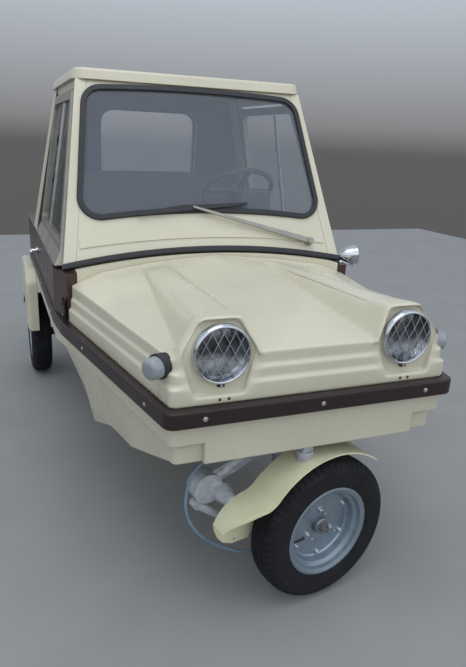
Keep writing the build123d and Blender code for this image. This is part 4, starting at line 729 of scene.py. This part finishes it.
def add_indicators():
    feet, lenses = Shape(), Shape()
    for side in (-1, 1):
        flip = Matrix.Diagonal((-side, 1, 1, 1))
        root = INDICATOR_AT - INDICATOR_SIDE * INDICATOR_DEPTHS[side]
        rings = []
        for out, along, way, scale in FOOT_RINGS:
            place = flip @ facing(root + INDICATOR_SIDE * out + INDICATOR_FACE * along, way)
            rings.append([place @ Vector(v) for v in circle(FOOT_R * scale, 0, FOOT_SIDES)])
        feet.skin(rings)
        at = root + INDICATOR_SIDE * LENS_AT[0] + INDICATOR_FACE * LENS_AT[1]
        rings = []
        for share, height in LENS_PROFILE:
            ring = []
            for a in turns(LENS_FLUTES * 4):
                r = LENS_R * share * (1 + FLUTE_DEPTH * math.cos(a * LENS_FLUTES))
                ring.append((r * math.cos(a), r * math.sin(a), height))
            rings.append(ring)
        lenses.skin(rings, flip @ facing(at, INDICATOR_FACE))
    feet.piece("indicator_feet", "black_rubber", "hood", bevel=0.001, angle=50)
    lenses.piece("indicator_lenses", "clear_lens", "hood", ["indicators"], angle=60)


# Screws: places on the waist strip's front and sides, and under the lamps
STRIP_FACE_Y = -1.2201
STRIP_MID_Z = 0.6545
SIDE_FACE = ((0.4158, -1.2200), (0.5691, -0.4180), (0.5801, -0.2720), (0.5801, 1.1000))
FRONT_SCREWS_X = (-0.320, 0.0, 0.320)
SIDE_SCREWS_Y = (-1.096, -0.635, -0.175, 0.285, 0.745)
HOOD_SCREWS_X = (-0.275, -0.251, 0.251, 0.275)
HOOD_SCREWS_Z = 0.688
SCREW_R = 0.0045


def side_point(y):
    """The strip's outer face at y, and the direction it faces there."""
    for (x0, y0), (x1, y1) in zip(SIDE_FACE, SIDE_FACE[1:]):
        if y <= y1:
            t = (y - y0) / (y1 - y0)
            return x0 + t * (x1 - x0), Vector((y1 - y0, x0 - x1, 0)).normalized()


def screw(shape, at, normal, radius=SCREW_R):
    """A domed head on a thin washer, with a dimple in its middle."""
    shape.lathe(((radius * 1.5, -0.0008), (radius * 1.5, 0.0003), (radius * 1.35, 0.0007),
                 (radius, 0.0007), (radius * 0.94, 0.0015), (radius * 0.72, 0.0022),
                 (radius * 0.35, 0.0026), (radius * 0.16, 0.0019)), facing(at, normal), 20)


def add_screws():
    strip, hood = Shape(), Shape()
    for x in FRONT_SCREWS_X:
        screw(strip, (x, STRIP_FACE_Y, STRIP_MID_Z), (0, -1, 0))
    for side in (-1, 1):
        for y in SIDE_SCREWS_Y:
            x, out = side_point(y)
            screw(strip, (side * x, y, STRIP_MID_Z), (side * out.x, out.y, 0))
    for x in HOOD_SCREWS_X:
        screw(hood, (x, NOSE_Y - 0.0003, HOOD_SCREWS_Z), (0, -1, 0), 0.0026)
    strip.piece("strip_screws", "bright_metal", "root", finish="screw_metal")
    hood.piece("hood_screws", "bright_metal", "hood", finish="dark_screw")


# Hold-down straps: place behind the hood's rear corners, and their blocks, out, along and up
STRAP_AT = (0.5445, -0.394, 0.690)
STRAP_OUT = Vector((0.975, -0.22, 0)).normalized()
STRAP_PROUD = 0.0006
STRAP_BLOCKS = (((0.0, -0.015, -0.008), (0.010, 0.015, 0.022)),
                ((0.001, -0.010, 0.020), (0.008, 0.010, 0.046)),
                ((0.0, -0.014, 0.044), (0.014, 0.014, 0.058)),
                ((0.008, -0.011, 0.056), (0.014, 0.011, 0.070)))
STRAP_BOLT_AT = (0.0098, 0, 0.008)
STRAP_BOLT = ((0.0045, 0.0), (0.0045, 0.0035), (0.003, 0.0045))


def add_hood_straps():
    straps, bolts = Shape(), Shape()
    for side in (-1, 1):
        out = Vector((side * STRAP_OUT.x, STRAP_OUT.y, 0))
        along = Vector((-STRAP_OUT.y, STRAP_OUT.x, 0)) * side
        origin = Vector((side * STRAP_AT[0], *STRAP_AT[1:])) + out * STRAP_PROUD
        place = Matrix.Translation(origin) @ axes(out, along, Vector((0, 0, 1)))
        for low, high in STRAP_BLOCKS:
            straps.block(low, high, place)
        bolts.lathe(STRAP_BOLT, place @ facing(STRAP_BOLT_AT, (1, 0, 0)), 6)
    straps.piece("hood_straps", "black_rubber", "root", bevel=0.0015)
    bolts.piece("hood_strap_bolts", "bright_metal", "root", bevel=0.0005)


# Sliding windows: the doors' leaning face, and the channel and finger latches on it
WINDOW_Z = 0.885
LEAN = math.atan2(0.098, 0.594)
LEAN_X = 0.548
PANE_IN = 0.008
SLIDER_Y = 0.16
SLIDER_Z = (0.925, 1.405)
CHANNEL = ((-0.001, 0.006, 0.011), (0.005, 0.009, 0.004))
LATCHES_Z = (1.107, 1.262)
LATCH_BEHIND = 0.018
LATCH_KNOB = ((0.011, 0.0), (0.011, 0.004), (0.006, 0.006), (0.006, 0.014), (0.004, 0.016))
LATCH_BAR = ((0.008, -0.005, -0.021), (0.014, 0.005, 0.021))


def add_window_channels():
    """Each door window slides: a channel across it and two finger latches."""
    tall = (SLIDER_Z[1] - SLIDER_Z[0]) / math.cos(LEAN)
    for side, hand in ((-1, "right"), (1, "left")):
        channel, latches = Shape(), Shape()
        out = Vector((side * math.cos(LEAN), 0, math.sin(LEAN)))
        up = Vector((-side * math.sin(LEAN), 0, math.cos(LEAN)))

        def on_pane(y, z):
            face = Vector((side * (LEAN_X - (z - WINDOW_Z) * math.tan(LEAN)), y, z))
            return Matrix.Translation(face - out * PANE_IN) @ axes(out, Vector((0, 1, 0)), up)

        for inner, outer, half in CHANNEL:
            channel.block((inner, -half, 0), (outer, half, tall), on_pane(SLIDER_Y, SLIDER_Z[0]))
        for z in LATCHES_Z:
            here = on_pane(SLIDER_Y + LATCH_BEHIND, z)
            latches.lathe(LATCH_KNOB, here @ facing((0, 0, 0), (1, 0, 0)), 24)
            latches.block(*LATCH_BAR, here)
        channel.piece(f"window_channel_{hand}", "bright_metal", f"door_{hand}", bevel=0.0008,
                      finish="dull_metal")
        latches.piece(f"window_latches_{hand}", "black_plastic", f"door_{hand}", bevel=0.0012)


# Tyres: ribbed walls, four grooves round the tread and cut shoulders, as radius and half width
TYRE_WALL = ((0.1290, 0.0404), (0.1400, 0.0424), (0.1405, 0.0468), (0.1450, 0.0490),
             (0.1470, 0.0482), (0.1490, 0.0492), (0.1520, 0.0500), (0.1650, 0.0518),
             (0.1780, 0.0523), (0.1900, 0.0511), (0.1925, 0.0514), (0.1950, 0.0500),
             (0.2010, 0.0478), (0.2060, 0.0447), (0.2110, 0.0405), (0.2150, 0.0355),
             (0.2175, 0.0300))
TYRE_TREAD = ((0.2185, 0.0262), (0.2150, 0.0258), (0.2150, 0.0228), (0.2192, 0.0224),
              (0.2200, 0.0130), (0.2160, 0.0126), (0.2160, 0.0092), (0.2204, 0.0088),
              (0.2208, 0.0030), (0.2180, 0.0026))
# Shoulder cuts: how many, shift between the two shoulders, depth, and where they reach
CUTS = 60
CUT_SHIFT = 0.35
CUT_DEPTH = 0.0035
CUT_WIDTHS = (0.0290, 0.0450)
CUT_LEAST_R = 0.2
CUT_STEPS = ((0.0, False), (0.62, False), (0.68, True), (0.95, True))


def add_tyres():
    half = (*TYRE_WALL, *TYRE_TREAD)
    profile = [*half, *[(r, -w) for r, w in reversed(half)]]
    for name, (centre, outward, body) in WHEELS.items():
        rings = []
        for k in range(CUTS):
            for share, cut in CUT_STEPS:
                ring = []
                for r, w in profile:
                    angle = 2 * math.pi * (k + share + (CUT_SHIFT if w < 0 else 0.0)) / CUTS
                    if cut and CUT_WIDTHS[0] < abs(w) < CUT_WIDTHS[1] and r > CUT_LEAST_R:
                        r -= CUT_DEPTH
                    ring.append((r * math.cos(angle), r * math.sin(angle), w))
                rings.append(ring)
        tyre = Shape().skin(rings, facing(centre, outward), joined=True)
        tyre.piece(f"{name}_tyre_tread", "tyre_rubber", body, [f"{name}_tyre"], angle=32)


# Nuts on the rim's face: circle radius, count, first angle; studs stand through the inner ones
SPLIT_NUT = ((0.0092, 0.0031), (0.0092, 0.0044), (0.0076, 0.0046), (0.0076, 0.0090),
             (0.0064, 0.0102), (0.0038, 0.0102), (0.0036, 0.0140), (0.0024, 0.0150))
STUD_NUT = ((0.0125, 0.0031), (0.0125, 0.0050), (0.0092, 0.0053), (0.0092, 0.0108),
            (0.0078, 0.0124), (0.0050, 0.0124))
NUTS = ((SPLIT_NUT, 0.095, 6, 30.0), (STUD_NUT, 0.048, 3, 90.0))
STUD_R = 0.0050
STUD_FOOT = 0.0120
STUD_TOP = 0.0278
THREAD = 0.0012
THREADS = 12
THREAD_DEEP = 0.0005
# Valve: its angle on the rim, and its points, as radius and height
VALVE_ANGLE = math.radians(193.0)
VALVE_POINTS = ((0.1075, 0.014), (0.100, 0.017), (0.076, 0.020), (0.069, 0.0205))
# Split pin through the castle nut: height, half length, and its two bent legs
PIN_Z = 0.0358
PIN_HALF = 0.0165
PIN_EYE = ((-0.0168, 0, PIN_Z), (-0.0150, 0, PIN_Z))
PIN_LEG = ((0.0155, 0.0015, PIN_Z), (0.0175, 0.0045, 0.0330), (0.0172, 0.0060, 0.0270))


def add_wheel_details():
    """Plated nuts and studs, a valve stem and a split pin on each wheel."""
    thread = [(STUD_R - THREAD_DEEP * (j % 2), STUD_FOOT + j * THREAD) for j in range(THREADS)]
    stud = [*thread, (0.0046, STUD_TOP - 0.0008), (0.0036, STUD_TOP)]
    for name, (centre, outward, body) in WHEELS.items():
        forward = REST @ Vector((0, 1, 0)) if name == "front" else Vector((0, 1, 0))
        place = Matrix.Translation(centre) @ axes(forward, outward.cross(forward), outward)
        nuts, studs, valve, pin = Shape(), Shape(), Shape(), Shape()
        for profile, radius, count, start in NUTS:
            for k in range(count):
                turn = Matrix.Rotation(math.radians(start + 360 * k / count), 4, "Z")
                here = place @ turn @ Matrix.Translation((radius, 0, 0))
                nuts.lathe(profile, here, 6)
                if profile is STUD_NUT:
                    studs.lathe(stud, here, 16)
        foot, knee, head, top = (
            place @ Vector((r * math.cos(VALVE_ANGLE), r * math.sin(VALVE_ANGLE), h))
            for r, h in VALVE_POINTS)
        valve.tube([foot, knee, head], 0.0038, 12)
        valve.tube([head, top], 0.0048, 12)
        bar = ((-PIN_HALF, 0, PIN_Z), (PIN_HALF, 0, PIN_Z))
        legs = [[(x, side * y, z) for x, y, z in PIN_LEG] for side in (-1, 1)]
        for path, radius in ((bar, 0.0014), (PIN_EYE, 0.0026), (legs[0], 0.0010),
                             (legs[1], 0.0010)):
            pin.tube([place @ Vector(spot) for spot in path], radius)
        nuts.piece(f"{name}_nuts", "bright_metal", body, bevel=0.0004)
        studs.piece(f"{name}_studs", "bright_metal", body)
        valve.piece(f"{name}_valve", "black_rubber", body, bevel=0.0008)
        pin.piece(f"{name}_split_pin", "hub_steel", body)


# Mirror: a chromed bullet, turned flat against the cab as it parks, on a short curved stalk
MIRROR_RIM = Vector((0.618, -0.356, 0.866))
MIRROR_NOSE = Vector((-0.975, 0.200, -0.090))
MIRROR_PROFILE = ((0.0300, -0.0005), (0.0370, 0.0), (0.0392, 0.0030), (0.0385, 0.0060),
                  (0.0382, 0.0140), (0.0365, 0.0280), (0.0325, 0.0430), (0.0255, 0.0580),
                  (0.0165, 0.0700), (0.0080, 0.0765), (0.0015, 0.0785))
MIRROR_BELLY = Vector((0, -0.037, 0.020))
MIRROR_FOOT = Vector((0.539, -0.372, 0.838))
MIRROR_BASE = ((0.0090, -0.0005), (0.0090, 0.0040), (0.0075, 0.0080), (0.0040, 0.0100))
STALK_R = 0.0038


def add_mirror():
    place = facing(MIRROR_RIM, MIRROR_NOSE)
    belly = place @ MIRROR_BELLY
    bowl = Shape().lathe(MIRROR_PROFILE, place, 64)
    bowl.tube([belly + Vector((0, 0, 0.004)), belly + Vector((0.004, -0.006, -0.008)),
               (0.590, -0.374, 0.828), (0.565, -0.376, 0.834),
               MIRROR_FOOT + Vector((0.004, 0, 0.006)), MIRROR_FOOT], STALK_R, 12)
    bowl.lathe(MIRROR_BASE, Matrix.Translation(MIRROR_FOOT), 24)
    bowl.piece("mirror_bowl", "bright_metal", "root", ["mirror"])


# Seats: stuffed covers with sewn channels, crowned between their edges
SEAT_CHANNELS = 8
SEAM_WIDE = 0.007
SEAM_DEEP = 0.007
CROWN_POWER = 4
CORNER_POWER = 8
SEAT_CUTS = 40


def stuffed(p, half, crown, lean):
    """Where a point of the cube of half side 1 goes on a stuffed block, from its middle."""
    edge = [1 - p[k] ** CROWN_POWER for k in range(3)]
    spot = Vector((p[k] * (half[k] - crown * (1 - edge[(k + 1) % 3] * edge[(k + 2) % 3]))
                   for k in range(3)))
    reach = max(abs(c) for c in p)
    spot *= reach / sum(abs(c) ** CORNER_POWER for c in p) ** (1 / CORNER_POWER)
    row = (p.x + 1) / 2 * SEAT_CHANNELS
    if 0 < round(row) < SEAT_CHANNELS:
        off = (row - round(row)) * 2 * half.x / SEAT_CHANNELS
        face = max((1, 2), key=lambda k: abs(p[k]))
        spot[face] -= math.copysign(SEAM_DEEP * math.exp(-(off / SEAM_WIDE) ** 2), p[face])
    spot.y += lean * p.z / 2
    return spot


def add_cushion(name, node, crown, lean=0.0):
    """A stuffed block in the node's box; lean is the shift of its top in y."""
    low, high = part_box(node)
    middle, half = (low + high) / 2, (high - low) / 2
    half.y -= abs(lean) / 2
    form = bmesh.new()
    bmesh.ops.create_cube(form, size=2.0)
    bmesh.ops.subdivide_edges(form, edges=form.edges, use_grid_fill=True,
                              cuts=SEAT_CUTS)
    for vert in form.verts:
        vert.co = middle + stuffed(vert.co.copy(), half, crown, lean)
    mesh = bpy.data.meshes.new(name)
    form.to_mesh(mesh)
    form.free()
    mesh.shade_smooth()
    mesh.materials.append(FINISHES["seat_vinyl"])
    piece = add_object(name, mesh)
    settle(piece, "root", [node])


# Tail: ribbed lamps in bezels, and a blank plate on two bolts
TAIL_LAMP_WIDE = 0.070
TAIL_LAMP_RIBS = 9
TAIL_LAMP_EDGE = 0.004
BEZEL_DEEP = 0.010
PLATE = ((-0.155, 1.1996, 0.705), (0.155, 1.2014, 0.805))
PLATE_BOLTS_X = (-0.120, 0.120)
PLATE_BOLTS_Y = 1.2016
PLATE_BOLTS_Z = 0.790


def add_tail():
    lamps, bezels, plate, bolts = Shape(), Shape(), Shape(), Shape()
    low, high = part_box("tail_lamps")
    x0, x1 = high.x - TAIL_LAMP_WIDE, high.x
    foot, tall = low.z + TAIL_LAMP_EDGE, (high.z - low.z - 2 * TAIL_LAMP_EDGE) / TAIL_LAMP_RIBS
    for side in (-1, 1):
        for k in range(TAIL_LAMP_RIBS):
            a, b = foot + k * tall, foot + (k + 1) * tall
            rim = [(low.y + TAIL_LAMP_EDGE, a), (high.y - 0.004, a + 0.0006),
                   (high.y - 0.001, (a + b) / 2), (high.y - 0.004, b - 0.0006),
                   (low.y + TAIL_LAMP_EDGE, b)]
            lamps.skin([[(side * x, y, z) for y, z in rim] for x in (x0 + 0.003, x1 - 0.003)])
        bezels.block((side * x0, low.y, low.z), (side * x1, low.y + BEZEL_DEEP, high.z))
    plate.block(*PLATE)
    for x in PLATE_BOLTS_X:
        screw(bolts, (x, PLATE_BOLTS_Y, PLATE_BOLTS_Z), (0, 1, 0), 0.0042)
    lamps.piece("tail_lamp_lenses", "red_lens", "root", ["tail_lamps"], bevel=0.0005)
    bezels.piece("tail_lamp_bezels", "bright_metal", "root", bevel=0.002)
    plate.piece("number_plate_blank", "silver_paint", "root", bevel=0.0006)
    bolts.piece("number_plate_bolts", "bright_metal", "root", finish="screw_metal")


FLOOR_HALF = 6.0
FLOOR_TONES = ((0.290, 0.284, 0.272), (0.320, 0.313, 0.300))


def add_floor():
    mesh = bpy.data.meshes.new("floor")
    corners = ((-1, -1), (1, -1), (1, 1), (-1, 1))
    mesh.from_pydata([(x * FLOOR_HALF, y * FLOOR_HALF, 0) for x, y in corners], [], [(0, 1, 2, 3)])
    f = Finish("floor", 0.85)
    f.wire(Base_Color=f.mix(f.span(f.noise(3.0, 6.0), 0.3, 0.7), *FLOOR_TONES))
    mesh.materials.append(f.material)
    add_object("floor", mesh)


# Sky: colour by height, from the ground up to overhead, and how bright it is behind and before
SKY = ((0.0, (0.10, 0.10, 0.10)), (0.495, (0.14, 0.14, 0.14)), (0.515, (0.30, 0.30, 0.31)),
       (0.60, (0.60, 0.65, 0.72)), (0.75, (0.70, 0.78, 0.88)), (1.0, (0.70, 0.79, 0.92)))
SKY_SHARES = {"From Min": 0.2, "From Max": -1.0, "To Min": 0.8, "To Max": 1.7}
LIGHT_AT = Vector((-0.6, -1.4, 4.6))
LIGHT_TO = Vector((0, -0.2, 0.6))
LIGHT_SIZE = 3.0
LIGHT_POWER = 45.0


def add_sky():
    """An overcast sky: dim round the horizon, bright above, and brightest before the car."""
    world = bpy.data.worlds.new("world")
    world.use_nodes = True
    tree = world.node_tree
    make, link = tree.nodes.new, tree.links.new
    split, ramp = make("ShaderNodeSeparateXYZ"), make("ShaderNodeValToRGB")
    height, front = make("ShaderNodeMapRange"), make("ShaderNodeMapRange")
    height.inputs["From Min"].default_value = -1.0
    for socket, value in SKY_SHARES.items():
        front.inputs[socket].default_value = value
    while len(ramp.color_ramp.elements) < len(SKY):
        ramp.color_ramp.elements.new(0.5)
    for element, (position, colour) in zip(ramp.color_ramp.elements, SKY):
        element.position = position
        element.color = (*colour, 1.0)
    background = tree.nodes["Background"]
    link(make("ShaderNodeTexCoord").outputs["Generated"], split.inputs[0])
    link(split.outputs["Z"], height.inputs["Value"])
    link(split.outputs["Y"], front.inputs["Value"])
    link(height.outputs[0], ramp.inputs[0])
    link(ramp.outputs["Color"], background.inputs["Color"])
    link(front.outputs[0], background.inputs["Strength"])
    bpy.context.scene.world = world


def add_light():
    data = bpy.data.lights.new("overhead", "AREA")
    data.shape = "DISK"
    data.size = LIGHT_SIZE
    data.energy = LIGHT_POWER
    light = add_object("overhead", data)
    aim = (LIGHT_TO - LIGHT_AT).to_track_quat("-Z", "Y")
    light.matrix_world = Matrix.Translation(LIGHT_AT) @ aim.to_matrix().to_4x4()


add_camera()
add_brake_cable()
finish_nodes()
add_hood()
add_headlamps()
add_indicators()
add_screws()
add_hood_straps()
add_window_channels()
add_tyres()
add_wheel_details()
add_mirror()
add_cushion("seat_cushion_cover", "seat_cushion", 0.022)
add_cushion("seat_back_cover", "seat_back", 0.016, 0.050)
add_tail()
add_floor()
add_sky()
add_light()
bpy.context.scene.view_settings.view_transform = "Standard"
